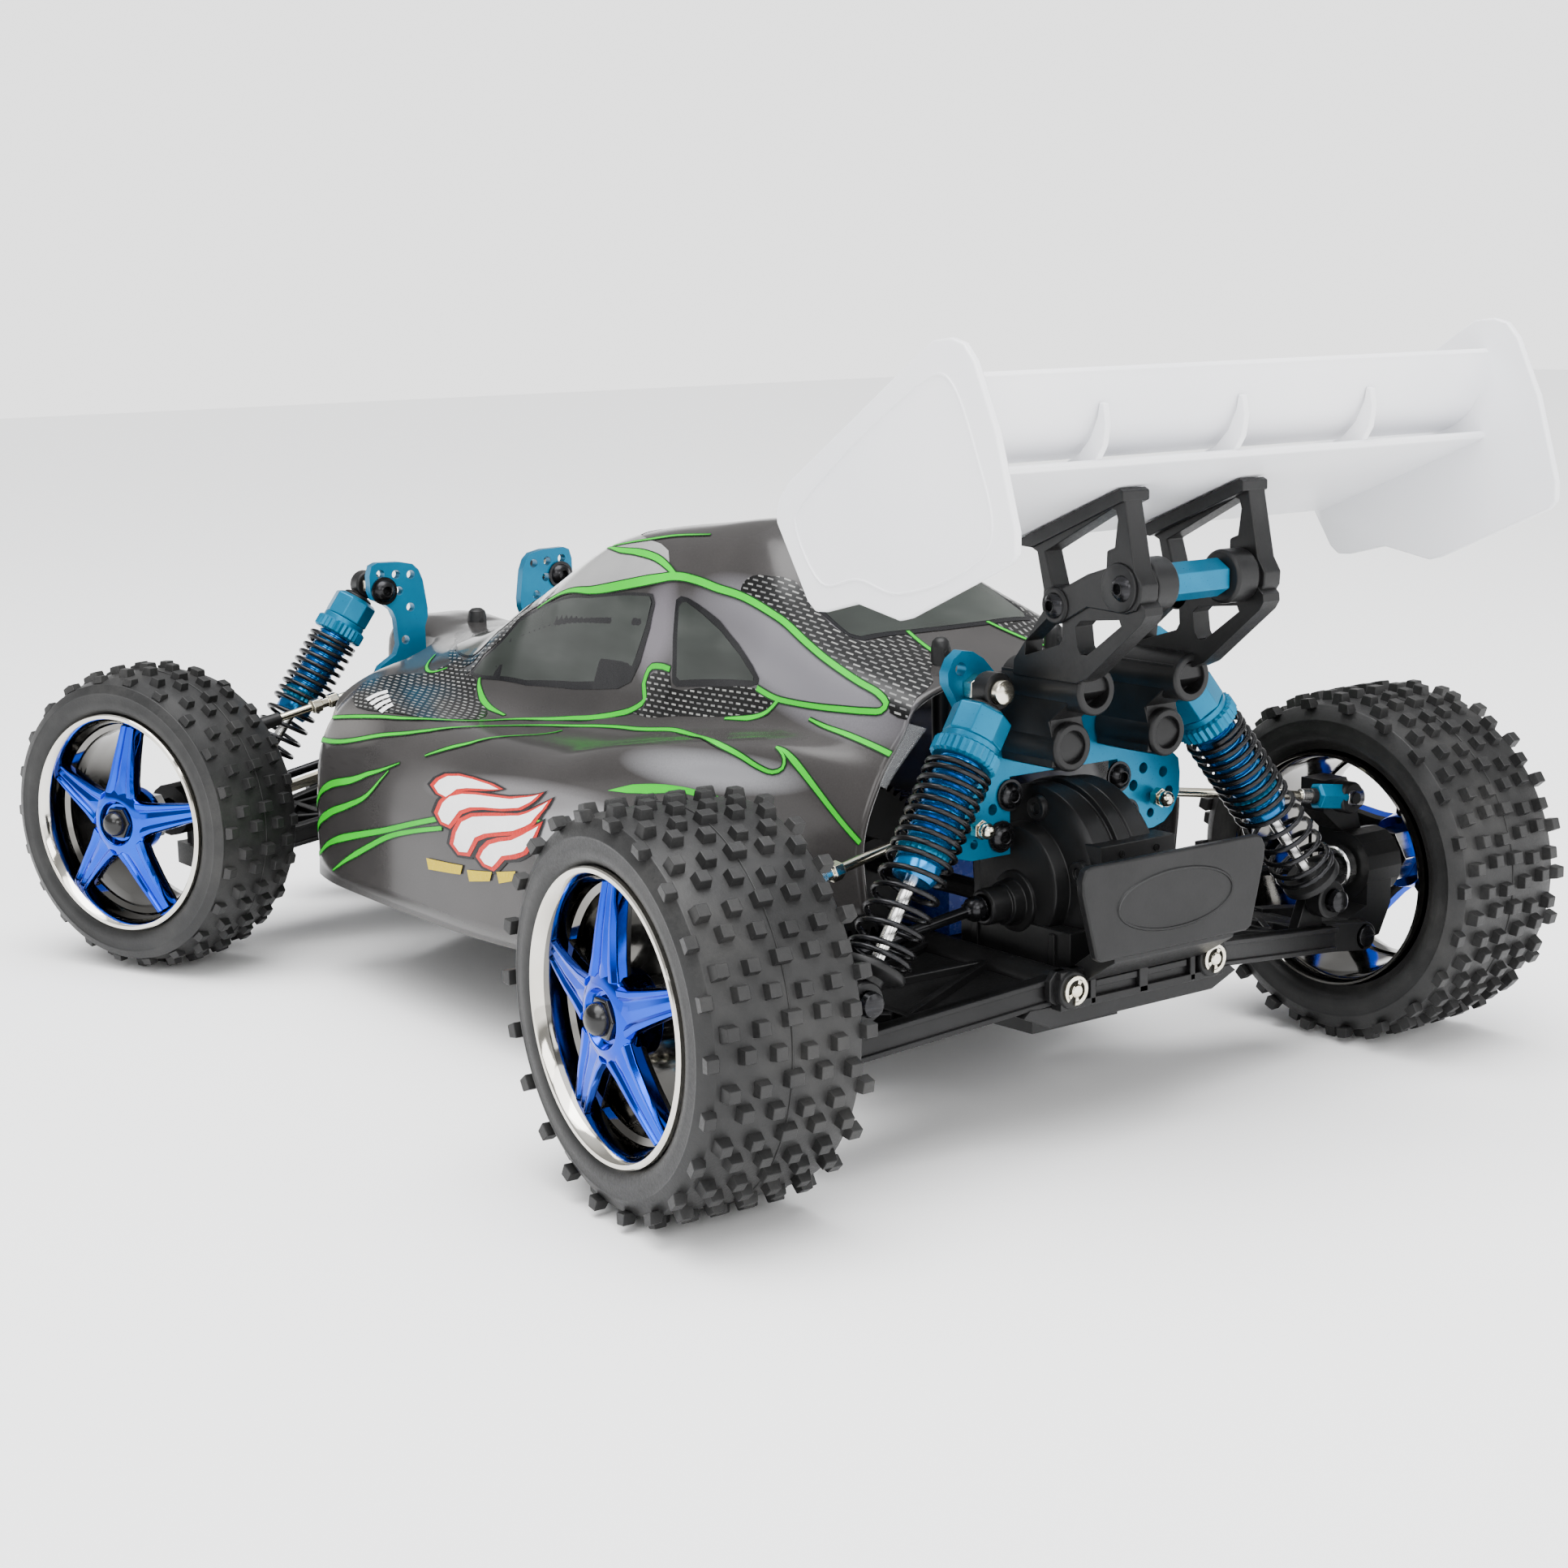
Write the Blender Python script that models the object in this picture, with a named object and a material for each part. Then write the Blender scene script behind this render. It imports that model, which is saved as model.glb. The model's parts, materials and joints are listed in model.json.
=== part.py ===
"""Electric 1/10 off-road buggy: four-wheel drive, independent suspension, steered front wheels.

+X points to the front of the car, +Y to its left and +Z up; the ground is z = 0.
Sizes are written in millimetres and become metres where a mesh or a location is made.
The car is drawn about the point midway between its axles, then moved forward so that the
middle of its overall length is at x = 0. The front wheels stand at the left-hand lock.
"""
import math

import bmesh
import bpy
from mathutils import Matrix, Vector

MM = 0.001

# Overall layout
MID_LENGTH_X = 11.28         # the axles' midpoint, ahead of the middle of the overall length
WHEELBASE = 275.0
FRONT_AXLE = WHEELBASE / 2
REAR_AXLE = -WHEELBASE / 2
STEER_ANGLE = math.radians(22.9)
TOE_IN = math.radians(2.9)
GAP = 0.3

# Wheels
TYRE_RADIUS = 43.5
REAR_TYRE_WIDTH = 38.0
FRONT_TYRE_WIDTH = 32.0
REAR_RIM_FACE = 123.2
FRONT_RIM_FACE = 124.0
RIM_RADIUS = 31.0
BEAD_RADIUS = 29.0
BARREL_RADIUS = 27.4
SPOKES = 5
AXLE_RADIUS = 2.5
WHEEL_SEGMENTS = 24

# Suspension, in the (y, z) plane of each axle, on the left side
PIN_RADIUS = 1.5
KINGPIN_Y = 90.0
REAR_PIVOT = (20.9, 36.9)
REAR_ARM_SPAN = (66.0, -8.4)
FRONT_PIVOT = (20.9, 41.5)
FRONT_ARM_SPAN = (66.0, -13.0)
REAR_SHOCK_TOP = (REAR_AXLE - 6.5, 26.5, 100.5)
REAR_SHOCK_FOOT = (REAR_AXLE - 14.5, 70.0, 41.0)
FRONT_SHOCK_TOP = (FRONT_AXLE + 5.5, 30.5, 102.0)
FRONT_SHOCK_FOOT = (FRONT_AXLE + 11.5, 72.0, 41.0)
REAR_LINK = ((REAR_AXLE + 8.5, 27.0, 69.5), (REAR_AXLE - 2.5, 90.0, 61.3))
FRONT_LINK = ((FRONT_AXLE - 11.5, 29.0, 75.5), (FRONT_AXLE - 11.5, 80.0, 65.0))
REAR_SHAFT = ((26.5, 51.1), (84.2, 43.8))
FRONT_SHAFT = ((26.0, 55.2), (81.8, 44.2))

# Steering
STEERING_ARM = (-24.0, -2.0)
LINK_TRAVEL = 9.34           # how far the drag link is pushed to the right at left lock
DRAG_LINK_X = FRONT_AXLE - 22.1
TIE_ROD_INNER_Y = 22.0
TIE_ROD_INNER_Z = 60.5
SAVER_PIVOT = (96.0, 22.0)

# Drive line
SHAFT_Z = 46.0
GEAR_MODULE = 0.8
SPUR_TEETH = 48
PINION_TEETH = 14
SPUR_X = (-62.0, -54.0)
MOTOR_RADIUS = 18.0
MOTOR_Z = 43.5
MOTOR_X = (-48.0, 4.0)

# Chassis and towers
FLOOR_BOTTOM = 20.6
FLOOR_TOP = 24.0
GEARBOX_STEP = 29.0        # underside of the gearbox halves that overhang the floor
REAR_TOWER_X = (REAR_AXLE, REAR_AXLE + 3.0)
FRONT_TOWER_X = (FRONT_AXLE - 6.5, FRONT_AXLE - 3.5)

# Wing
WING_HALF_WIDTH = 77.5
MOUNT_Y = 17.8
MOUNT_THICKNESS = 6.4
PIVOT_BOLT = (-177.0, 124.8)

# Body shell
SHELL_THICKNESS = 1.2

# Finishes: name -> (colour, roughness, metallic)
FINISHES = {
    "rubber": ((0.035, 0.035, 0.037), 0.75, 0.0),
    "chrome": ((0.75, 0.73, 0.68), 0.12, 1.0),
    "blue_aluminium": ((0.01, 0.36, 0.62), 0.28, 0.9),
    "moulded_black": ((0.02, 0.02, 0.022), 0.5, 0.0),
    "steel": ((0.55, 0.55, 0.56), 0.3, 1.0),
    "dark_steel": ((0.06, 0.06, 0.065), 0.35, 0.9),
    "white_nylon": ((0.86, 0.87, 0.89), 0.4, 0.0),
    "painted_shell": ((0.075, 0.068, 0.072), 0.22, 0.0),
    "battery_wrap": ((0.05, 0.12, 0.45), 0.45, 0.0),
    "motor_can": ((0.45, 0.45, 0.47), 0.35, 1.0),
}


# ---------------------------------------------------------------- making solids

def clear_scene():
    for old in list(bpy.data.objects):
        bpy.data.objects.remove(old)


def finish_material(finish):
    """One Principled material for each finish, shared by the pieces that have it."""
    material = bpy.data.materials.get(finish)
    if material is None:
        material = bpy.data.materials.new(finish)
        material.use_nodes = True
        colour, roughness, metallic = FINISHES[finish]
        shader = material.node_tree.nodes["Principled BSDF"]
        shader.inputs["Base Color"].default_value = (*colour, 1.0)
        shader.inputs["Roughness"].default_value = roughness
        shader.inputs["Metallic"].default_value = metallic
    return material


def solid(bm):
    """A bmesh drawn in millimetres becomes an object in metres, its faces pointing out."""
    bmesh.ops.remove_doubles(bm, verts=bm.verts[:], dist=0.001)
    bmesh.ops.recalc_face_normals(bm, faces=bm.faces[:])
    bmesh.ops.scale(bm, vec=(MM, MM, MM), verts=bm.verts[:])
    mesh = bpy.data.meshes.new("solid")
    bm.to_mesh(mesh)
    bm.free()
    made = bpy.data.objects.new("solid", mesh)
    bpy.context.scene.collection.objects.link(made)
    return made


def along(axis, low, point):
    """A point of an outline placed in space: `axis` is the axis it is extruded along."""
    a, b = point
    return {"x": (low, a, b), "y": (a, low, b), "z": (a, b, low)}[axis]


def prism(outline, axis, low, high):
    """An outline extruded along an axis; it lies in (y, z), (x, z) or (x, y)."""
    bm = bmesh.new()
    ring = [bm.verts.new(along(axis, low, point)) for point in outline]
    face = bm.faces.new(ring)
    grown = bmesh.ops.extrude_face_region(bm, geom=[face])["geom"]
    moved = [item for item in grown if isinstance(item, bmesh.types.BMVert)]
    shift = Vector(along(axis, high - low, (0.0, 0.0)))
    bmesh.ops.translate(bm, vec=shift, verts=moved)
    return solid(bm)


def block(x, y, z):
    return prism([(x[0], y[0]), (x[1], y[0]), (x[1], y[1]), (x[0], y[1])], "z", z[0], z[1])


def turned(profile, start, direction, segments=24):
    """A profile of (distance along the axis, radius) points turned about the axis.

    Unless it starts and ends on the axis, the profile is closed into a ring.
    """
    bm = bmesh.new()
    points = [bm.verts.new((radius, 0.0, distance)) for distance, radius in profile]
    edges = [bm.edges.new(pair) for pair in zip(points, points[1:])]
    if profile[0][1] > 0.0 or profile[-1][1] > 0.0:
        edges.append(bm.edges.new((points[-1], points[0])))
    bmesh.ops.spin(bm, geom=points + edges, cent=(0, 0, 0), axis=(0, 0, 1),
                   angle=2 * math.pi, steps=segments, use_merge=True)
    place = Vector((0, 0, 1)).rotation_difference(Vector(direction)).to_matrix().to_4x4()
    bmesh.ops.transform(bm, matrix=Matrix.Translation(start) @ place, verts=bm.verts[:])
    return solid(bm)


def rod(a, b, radius, segments=8):
    a = Vector(a)
    b = Vector(b)
    length = (b - a).length
    profile = [(0.0, 0.0), (0.0, radius), (length, radius), (length, 0.0)]
    return turned(profile, a, b - a, segments)


def ring(centre, direction, outer, inner, width, segments=10):
    """An eye or bush: a short tube centred on a point."""
    half = width / 2
    profile = [(-half, inner), (-half, outer), (half, outer), (half, inner)]
    return turned(profile, centre, direction, segments)


def combine(target, tools, operation):
    """Joins tools to the target, or cuts them out of it, and keeps the result as its mesh."""
    for tool in tools:
        modifier = target.modifiers.new(operation.lower(), "BOOLEAN")
        modifier.operation = operation
        modifier.solver = "EXACT"
        modifier.object = tool
    depsgraph = bpy.context.evaluated_depsgraph_get()
    mesh = bpy.data.meshes.new_from_object(target.evaluated_get(depsgraph))
    target.modifiers.clear()
    target.data = mesh
    for tool in tools:
        bpy.data.objects.remove(tool)
    return target


def joined(*pieces):
    return combine(pieces[0], pieces[1:], "UNION")


def cut(target, *tools):
    return combine(target, tools, "DIFFERENCE")


# ---------------------------------------------------------------- placing nodes

def empty(name, location, parent=None, turn=0.0):
    made = bpy.data.objects.new(name, None)
    bpy.context.scene.collection.objects.link(made)
    made.parent = parent
    made.location = [value * MM for value in location]
    made.rotation_euler = (0.0, 0.0, turn)
    made.empty_display_size = 0.01
    return made


def node(name, piece, finish, parent, pivot=(0.0, 0.0, 0.0), frame=(0.0, 0.0, 0.0), side=1):
    """Names a piece and gives it its finish, its side of the car and its origin.

    `pivot` is a point of its joint's axis and `frame` is its parent's place, both where
    they are on the left side; side = -1 mirrors the piece to the right.
    """
    piece.name = name
    piece.data.name = name
    if side < 0:
        piece.data.transform(Matrix.Scale(-1.0, 4, (0, 1, 0)))
        piece.data.flip_normals()
    origin = Vector((pivot[0], pivot[1] * side, pivot[2])) * MM
    place = Vector((frame[0], frame[1] * side, frame[2])) * MM
    piece.data.transform(Matrix.Translation(-origin))
    piece.parent = parent
    piece.location = origin - place
    piece.data.materials.clear()
    piece.data.materials.append(finish_material(finish))
    piece.data.shade_smooth()
    piece.data.set_sharp_from_angle(angle=math.radians(35))
    return piece


# ---------------------------------------------------------------- wheels

def tyre(axle, face, width):
    """The carcass: rounded shoulders, sidewalls that stand a little proud, an open bore."""
    shoulder = TYRE_RADIUS - 1.2
    profile = [(1.3, 31.3), (0.0, 34.5), (1.2, 39.5), (4.5, shoulder), (width / 2, TYRE_RADIUS),
               (width - 4.5, shoulder), (width - 1.2, 39.5), (width, 34.5), (width - 1.3, 31.3),
               (width - 3.0, BEAD_RADIUS + GAP), (3.0, BEAD_RADIUS + GAP)]
    return turned(profile, (axle, face, TYRE_RADIUS), (0, -1, 0), WHEEL_SEGMENTS)


def star(centre, face, depth):
    """Five tapering spokes in one outline, from the hub out into the barrel."""
    outline = []
    for spoke in range(SPOKES):
        middle = 2 * math.pi * spoke / SPOKES + math.pi / 2
        for angle, radius in ((-0.62, 9.5), (-0.11, 28.3), (0.11, 28.3), (0.62, 9.5)):
            outline.append((centre + radius * math.cos(middle + angle),
                            TYRE_RADIUS + radius * math.sin(middle + angle)))
    return prism(outline, "y", face - depth - 4.5, face - depth)


def rim(axle, face, width, axle_end, cup):
    """Chromed barrel, star spokes, hub and the wheel axle that runs in the bearings."""
    barrel = [(0.0, RIM_RADIUS), (1.0, RIM_RADIUS), (1.6, BEAD_RADIUS), (width, BEAD_RADIUS),
              (width, BARREL_RADIUS), (0.0, BARREL_RADIUS + 0.8)]
    centre = (axle, face, TYRE_RADIUS)
    inward = (0, -1, 0)
    hub = [(3.0, 0.0), (3.0, 3.0), (4.0, 9.9), (15.0, 8.0), (15.0, AXLE_RADIUS)]
    if cup:
        hub += [(axle_end - 3.6, AXLE_RADIUS), (axle_end - 3.6, 5.5), (axle_end, 5.5)]
    else:
        hub += [(axle_end, AXLE_RADIUS)]
    hub += [(axle_end, 0.0)]
    return joined(turned(barrel, centre, inward, WHEEL_SEGMENTS),
                  star(axle, face, 2.5), turned(hub, centre, inward, 12))


# ---------------------------------------------------------------- suspension

def lower_arm(axle, outward, pivot, span, foot):
    """An A-shaped arm: hinge tube, ribbed web, fork with its outer pin, shock foot pin.

    `outward` is -1 where the long end of the hinge points to the rear, +1 to the front.
    """
    length = Vector(span).length

    def plan(points):
        return [(axle + outward * x, distance) for x, distance in points]

    web = prism(plan([(25.0, 1.0), (25.0, 9.0), (14.5, 46.0), (12.5, 55.5), (-12.5, 55.5),
                      (-13.0, 50.0), (-24.0, 9.0), (-24.0, 1.0)]), "z", -2.8, 2.8)
    windows = [plan([(19.5, 8.0), (2.5, 8.0), (8.5, 34.0), (12.0, 34.0)]),
               plan([(-1.5, 8.0), (-18.5, 8.0), (-11.5, 34.0), (4.5, 34.0)]),
               plan([(9.0, 39.0), (-9.0, 39.0), (-8.0, 50.5), (8.0, 50.5)])]
    web = cut(web, *[prism(window, "z", -4.0, 4.0) for window in windows])
    pieces = [web]
    for x in (10.5, -10.5):
        prong = [(axle + x - 2.0, 52.0), (axle + x + 2.0, 52.0), (axle + x + 2.0, length + 3.4),
                 (axle + x - 2.0, length + 3.4)]
        pieces.append(prism(prong, "z", -3.6, 3.6))
    tube_ends = sorted((axle + outward * 25.0, axle - outward * 24.0))
    pieces.append(rod((tube_ends[0], 0, 0), (tube_ends[1], 0, 0), 3.8, 12))
    pieces.append(rod((axle - 12.0, length, 0), (axle + 12.0, length, 0), PIN_RADIUS, 8))
    local = Vector((foot[1] - pivot[0], foot[2] - pivot[1]))
    along_arm = Vector(span).normalized()
    foot_distance = local.dot(along_arm)
    foot_height = local.dot(Vector((-along_arm.y, along_arm.x)))
    inner = foot[0] - outward * 3.5
    lug = prism([(foot_distance - 5.0, 1.0), (foot_distance + 5.0, 1.0),
                 (foot_distance + 2.4, foot_height + 1.8), (foot_distance - 2.4, foot_height + 1.8)],
                "x", min(inner, inner - outward * 3.0), max(inner, inner - outward * 3.0))
    pieces.append(lug)
    pieces.append(rod((inner - outward * 1.0, foot_distance, foot_height),
                      (foot[0] + outward * 3.0, foot_distance, foot_height), PIN_RADIUS, 8))
    arm = joined(*pieces)
    bore = rod((axle - 40.0, 0, 0), (axle + 40.0, 0, 0), PIN_RADIUS + 0.4, 10)
    arm = cut(arm, bore)
    tilt = math.atan2(span[1], span[0])
    turn = Matrix.Rotation(tilt, 4, "X")
    arm.data.transform(Matrix.Translation((0.0, pivot[0] * MM, pivot[1] * MM)) @ turn)
    return arm


def rear_hub(pin):
    """Bearing boss with a lug for the arm's outer pin below and for the camber link above."""
    x = REAR_AXLE
    boss = rod((x, 92.2, TYRE_RADIUS), (x, 104.0, TYRE_RADIUS), 8.5, 16)
    lower = prism([(pin[0] - 3.4, pin[1] - 1.8), (pin[0] - 1.5, pin[1] - 3.6), (97.0, 26.5),
                   (101.0, 34.0), (101.0, 43.5), (92.3, 43.5), (92.3, 34.5),
                   (pin[0] - 1.0, pin[1] + 3.6), (pin[0] - 3.4, pin[1] + 1.8)],
                  "x", x - 7.8, x + 7.8)
    upper = prism([(92.5, 44.0), (102.0, 44.0), (97.0, 60.0), (94.0, 65.3), (86.0, 65.3),
                   (86.0, 57.5), (92.5, 52.0)], "x", x + 1.0, x + 8.5)
    ball_x, ball_y, ball_z = REAR_LINK[1]
    stud = rod((ball_x - 3.5, ball_y, ball_z), (x + 2.0, ball_y, ball_z), PIN_RADIUS, 8)
    hub = joined(boss, lower, upper, stud)
    axle_bore = rod((x, 80.0, TYRE_RADIUS), (x, 110.0, TYRE_RADIUS), AXLE_RADIUS + 1.1, 12)
    pin_bore = rod((x - 20.0, *pin), (x + 20.0, *pin), PIN_RADIUS + 0.4, 10)
    return cut(hub, axle_bore, pin_bore)


def front_hub(pin):
    """The C-shaped carrier that holds the steering knuckle between two kingpin plates."""
    x = FRONT_AXLE
    frame = prism([(78.0, 25.0), (95.0, 25.0), (95.0, 31.5), (82.0, 31.5), (82.0, 57.0),
                   (95.0, 57.0), (95.0, 61.0), (84.0, 61.0), (84.0, 69.0), (76.5, 69.0),
                   (76.5, 61.0), (78.0, 57.0)], "x", x - 7.8, x + 7.8)
    ball_x, ball_y, ball_z = FRONT_LINK[1]
    stud = rod((ball_x - 3.5, ball_y, ball_z), (x - 7.0, ball_y, ball_z), PIN_RADIUS, 8)
    shaft_hole = rod((x, 70.0, 44.0), (x, 83.0, 44.0), 6.5, 16)
    pin_bore = rod((x - 20.0, *pin), (x + 20.0, *pin), PIN_RADIUS + 0.4, 10)
    return cut(joined(frame, stud), shaft_hole, pin_bore)


def knuckle():
    """Steering knuckle: bearing boss, kingpin bosses and the arm that the tie rod moves."""
    x = FRONT_AXLE
    boss = rod((x, 85.3, TYRE_RADIUS), (x, 103.0, TYRE_RADIUS), 7.5, 16)
    post = rod((x, KINGPIN_Y, 31.9), (x, KINGPIN_Y, 56.6), 4.8, 12)
    tip_x = x + STEERING_ARM[0]
    tip_y = KINGPIN_Y + STEERING_ARM[1]
    arm = prism([(x - 3.0, KINGPIN_Y - 4.0), (x - 3.0, KINGPIN_Y + 4.0),
                 (tip_x - 1.5, tip_y + 2.8), (tip_x - 3.6, tip_y), (tip_x - 1.5, tip_y - 2.8)],
                "z", 41.5, 44.5)
    axle_bore = rod((x, 70.0, TYRE_RADIUS), (x, 110.0, TYRE_RADIUS), AXLE_RADIUS + 1.1, 12)
    return cut(joined(boss, post, arm), axle_bore)


def link(a, b, eye_axis, rod_radius=1.7, eye=4.0, bore=2.4, width=5.0):
    """A straight rod with an eye at each end."""
    a = Vector(a)
    b = Vector(b)
    step = (b - a).normalized() * (bore + 0.8)
    return joined(rod(a + step, b - step, rod_radius), ring(a, eye_axis, eye, bore, width),
                  ring(b, eye_axis, eye, bore, width))


def drive_shaft(axle, ends):
    inner = (axle, *ends[0])
    outer = (axle, *ends[1])
    ball = 3.0
    rise = math.sqrt(ball ** 2 - 2.0 ** 2)
    direction = Vector(outer) - Vector(inner)
    length = direction.length
    profile = [(-ball, 0.0), (-2.0, 2.2), (0.0, ball), (rise, 2.0),
               (length - rise, 2.0), (length, ball), (length + 2.0, 2.2), (length + ball, 0.0)]
    return turned(profile, inner, direction, 10)


def shock_body(top, foot):
    """Eye, hexagonal cap, spring collar and the bored damper cylinder."""
    axis = Vector(foot) - Vector(top)
    profile = [(3.4, 0.0), (3.4, 3.4), (5.0, 6.8), (13.0, 6.8), (13.0, 7.6), (18.0, 7.6),
               (18.0, 5.2), (46.0, 5.2), (46.0, 1.9), (8.0, 1.9), (8.0, 0.0)]
    cylinder = turned(profile, top, axis, 14)
    return joined(cylinder, ring(top, (1, 0, 0), 4.2, 2.2, 5.0))


def shock_shaft(top, foot):
    """Piston rod, spring seat and the eye that rides on the arm's pin."""
    axis = Vector(foot) - Vector(top)
    length = axis.length
    profile = [(26.0, 0.0), (26.0, 1.5), (length - 9.0, 1.5), (length - 8.0, 7.2),
               (length - 6.0, 7.2), (length - 5.6, 3.0), (length - 3.6, 3.0), (length - 3.6, 0.0)]
    return joined(turned(profile, top, axis, 12), ring(foot, (1, 0, 0), 4.6, 2.7, 5.0))


def spring(top, foot):
    """The space that the coil spring fills between its collar and its seat."""
    axis = Vector(foot) - Vector(top)
    length = axis.length
    profile = [(18.0 + GAP, 5.6), (18.0 + GAP, 7.6), (length - 8.0 - GAP, 7.6),
               (length - 8.0 - GAP, 5.6)]
    return turned(profile, top, axis, 14)


# ---------------------------------------------------------------- steering

def drag_link():
    x = DRAG_LINK_X
    middle = -LINK_TRAVEL
    reach = TIE_ROD_INNER_Y + 4.0
    return prism([(x - 3.0, middle - reach + 2.0), (x - 1.5, middle - reach),
                  (x + 1.5, middle - reach), (x + 3.0, middle - reach + 2.0),
                  (x + 3.0, middle + reach - 2.0), (x + 1.5, middle + reach),
                  (x - 1.5, middle + reach), (x - 3.0, middle + reach - 2.0)],
                 "z", 54.3, 57.3)


def tie_rod(side):
    """Drawn where it stands: the drag link is off centre, so the two rods aren't mirrored."""
    inner_y = side * TIE_ROD_INNER_Y - LINK_TRAVEL
    inner = (DRAG_LINK_X, inner_y, TIE_ROD_INNER_Z)
    outer = (DRAG_LINK_X, inner_y + side * FRONT_ARM_SPAN[0], TIE_ROD_INNER_Z + FRONT_ARM_SPAN[1])
    return link(inner, outer, (0, 0, 1), 1.7, 3.0, 1.6, 4.6)


def servo_saver():
    """A horn on the servo's output that pushes the drag link through its spring clutch."""
    px, py = SAVER_PIVOT
    pin_y = TIE_ROD_INNER_Y - LINK_TRAVEL
    reach = Vector((DRAG_LINK_X - px, pin_y - py))
    side = Vector((-reach.y, reach.x)).normalized()
    origin = Vector((px, py))
    tip = origin + reach
    horn = [tuple(origin + side * 4.5), tuple(origin - side * 4.5), tuple(tip - side * 2.8),
            tuple(tip + reach.normalized() * 2.6), tuple(tip + side * 2.8)]
    clutch = rod((px, py, 50.8), (px, py, 59.0), 7.0, 20)
    return joined(clutch, prism(horn, "z", 50.8, 53.8))


# ---------------------------------------------------------------- drive line

def gear_outline(teeth, y, z, phase):
    """A gear's outline: trapezoidal teeth about the pitch circle, a whole number around."""
    pitch = GEAR_MODULE * teeth / 2
    root = pitch - 1.15 * GEAR_MODULE
    tip = pitch + GEAR_MODULE
    outline = []
    for tooth in range(teeth):
        for share, radius in ((-0.31, root), (-0.11, tip), (0.11, tip), (0.31, root)):
            angle = 2 * math.pi * (tooth + share) / teeth + phase
            outline.append((y + radius * math.cos(angle), z + radius * math.sin(angle)))
    return outline


def spur_gear():
    """The main gear on the long shaft that joins the two gearboxes."""
    low, high = SPUR_X
    mesh_angle = math.atan2(MOTOR_Z - SHAFT_Z, motor_y())
    gear = prism(gear_outline(SPUR_TEETH, 0.0, SHAFT_Z, mesh_angle), "x", low, high)
    shaft = rod((-114.6, 0, SHAFT_Z), (118.0, 0, SHAFT_Z), 2.5, 12)
    hub = rod((low - 5.0, 0, SHAFT_Z), (high + 4.0, 0, SHAFT_Z), 6.0, 14)
    return joined(gear, hub, shaft)


def motor_y():
    """The motor stands where its pinion meets the spur gear."""
    distance = GEAR_MODULE * (SPUR_TEETH + PINION_TEETH) / 2
    return math.sqrt(distance ** 2 - (MOTOR_Z - SHAFT_Z) ** 2)


def pinion():
    y = motor_y()
    mesh_angle = math.atan2(MOTOR_Z - SHAFT_Z, y) + math.pi + math.pi / PINION_TEETH
    gear = prism(gear_outline(PINION_TEETH, y, MOTOR_Z, mesh_angle), "x", SPUR_X[0] + 0.5, SPUR_X[1])
    return joined(gear, rod((SPUR_X[1] - 1.0, y, MOTOR_Z), (MOTOR_X[0] - GAP, y, MOTOR_Z), 1.6, 12))


def motor():
    y = motor_y()
    length = MOTOR_X[1] - MOTOR_X[0]
    profile = [(0.0, 0.0), (0.0, 16.0), (1.5, MOTOR_RADIUS), (length - 8.0, MOTOR_RADIUS),
               (length - 7.0, 17.0), (length, 17.0), (length, 5.0), (length + 3.0, 5.0),
               (length + 3.0, 0.0)]
    return turned(profile, (MOTOR_X[0], y, MOTOR_Z), (1, 0, 0), 20)


def gearbox(axle, outward, bulge, bulge_z, shaft_ends):
    """A moulded case: square base, round bulge over the ring gear, output bosses."""
    base = block((axle - 18.5, axle + 18.5), (-15.5, 15.5), (GEARBOX_STEP, 47.0))
    foot_x = sorted((axle + outward * 1.5, axle - outward * 18.5))
    foot = block(foot_x, (-15.5, 15.5), (FLOOR_TOP + GAP, GEARBOX_STEP + 0.5))
    pieces = [base, foot, rod((axle, -14.5, bulge_z), (axle, 14.5, bulge_z), bulge, 28)]
    for side in (-1, 1):
        y, z = shaft_ends[0]
        pieces.append(rod((axle, side * 13.0, z), (axle, side * (y - 4.0), z), 6.0, 12))
    flange_x = sorted((axle - outward * 4.0, axle - outward * 18.2))
    pieces.append(block(flange_x, (-15.1, 15.1), (40.0, bulge_z + bulge * 0.55)))
    return joined(*pieces)


def hinge_brace(x, pivot, length, outward):
    """A bar across the ends of both hinge pins, with the pins that run back from it."""
    y, z = pivot
    bar = prism([(-24.5, z - 2.5), (-22.0, z - 5.0), (22.0, z - 5.0), (24.5, z - 2.5),
                 (24.5, z + 2.5), (22.0, z + 4.6), (-22.0, z + 4.6), (-24.5, z + 2.5)],
                "x", min(x, x + outward * 3.5), max(x, x + outward * 3.5))
    pieces = [bar]
    for side in (-1, 1):
        pieces.append(rod((x + outward * 2.0, side * y, z), (x - outward * length, side * y, z),
                          PIN_RADIUS, 8))
    return pieces


def rear_bumper():
    brace_x = REAR_AXLE - 26.5
    pieces = hinge_brace(brace_x, REAR_PIVOT, 52.0, -1)
    pieces.append(prism([(-23.0, 45.0), (23.0, 45.0), (27.5, 62.0), (25.0, 66.0), (-25.0, 66.0),
                         (-27.5, 62.0)], "x", -173.5, -171.0))
    pieces.append(prism([(brace_x, 38.0), (brace_x, 41.4), (-171.2, 46.5), (-173.4, 46.5),
                         (-173.4, 44.0), (brace_x - 3.4, 38.0)], "y", -18.0, 18.0))
    return joined(*pieces)


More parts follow.
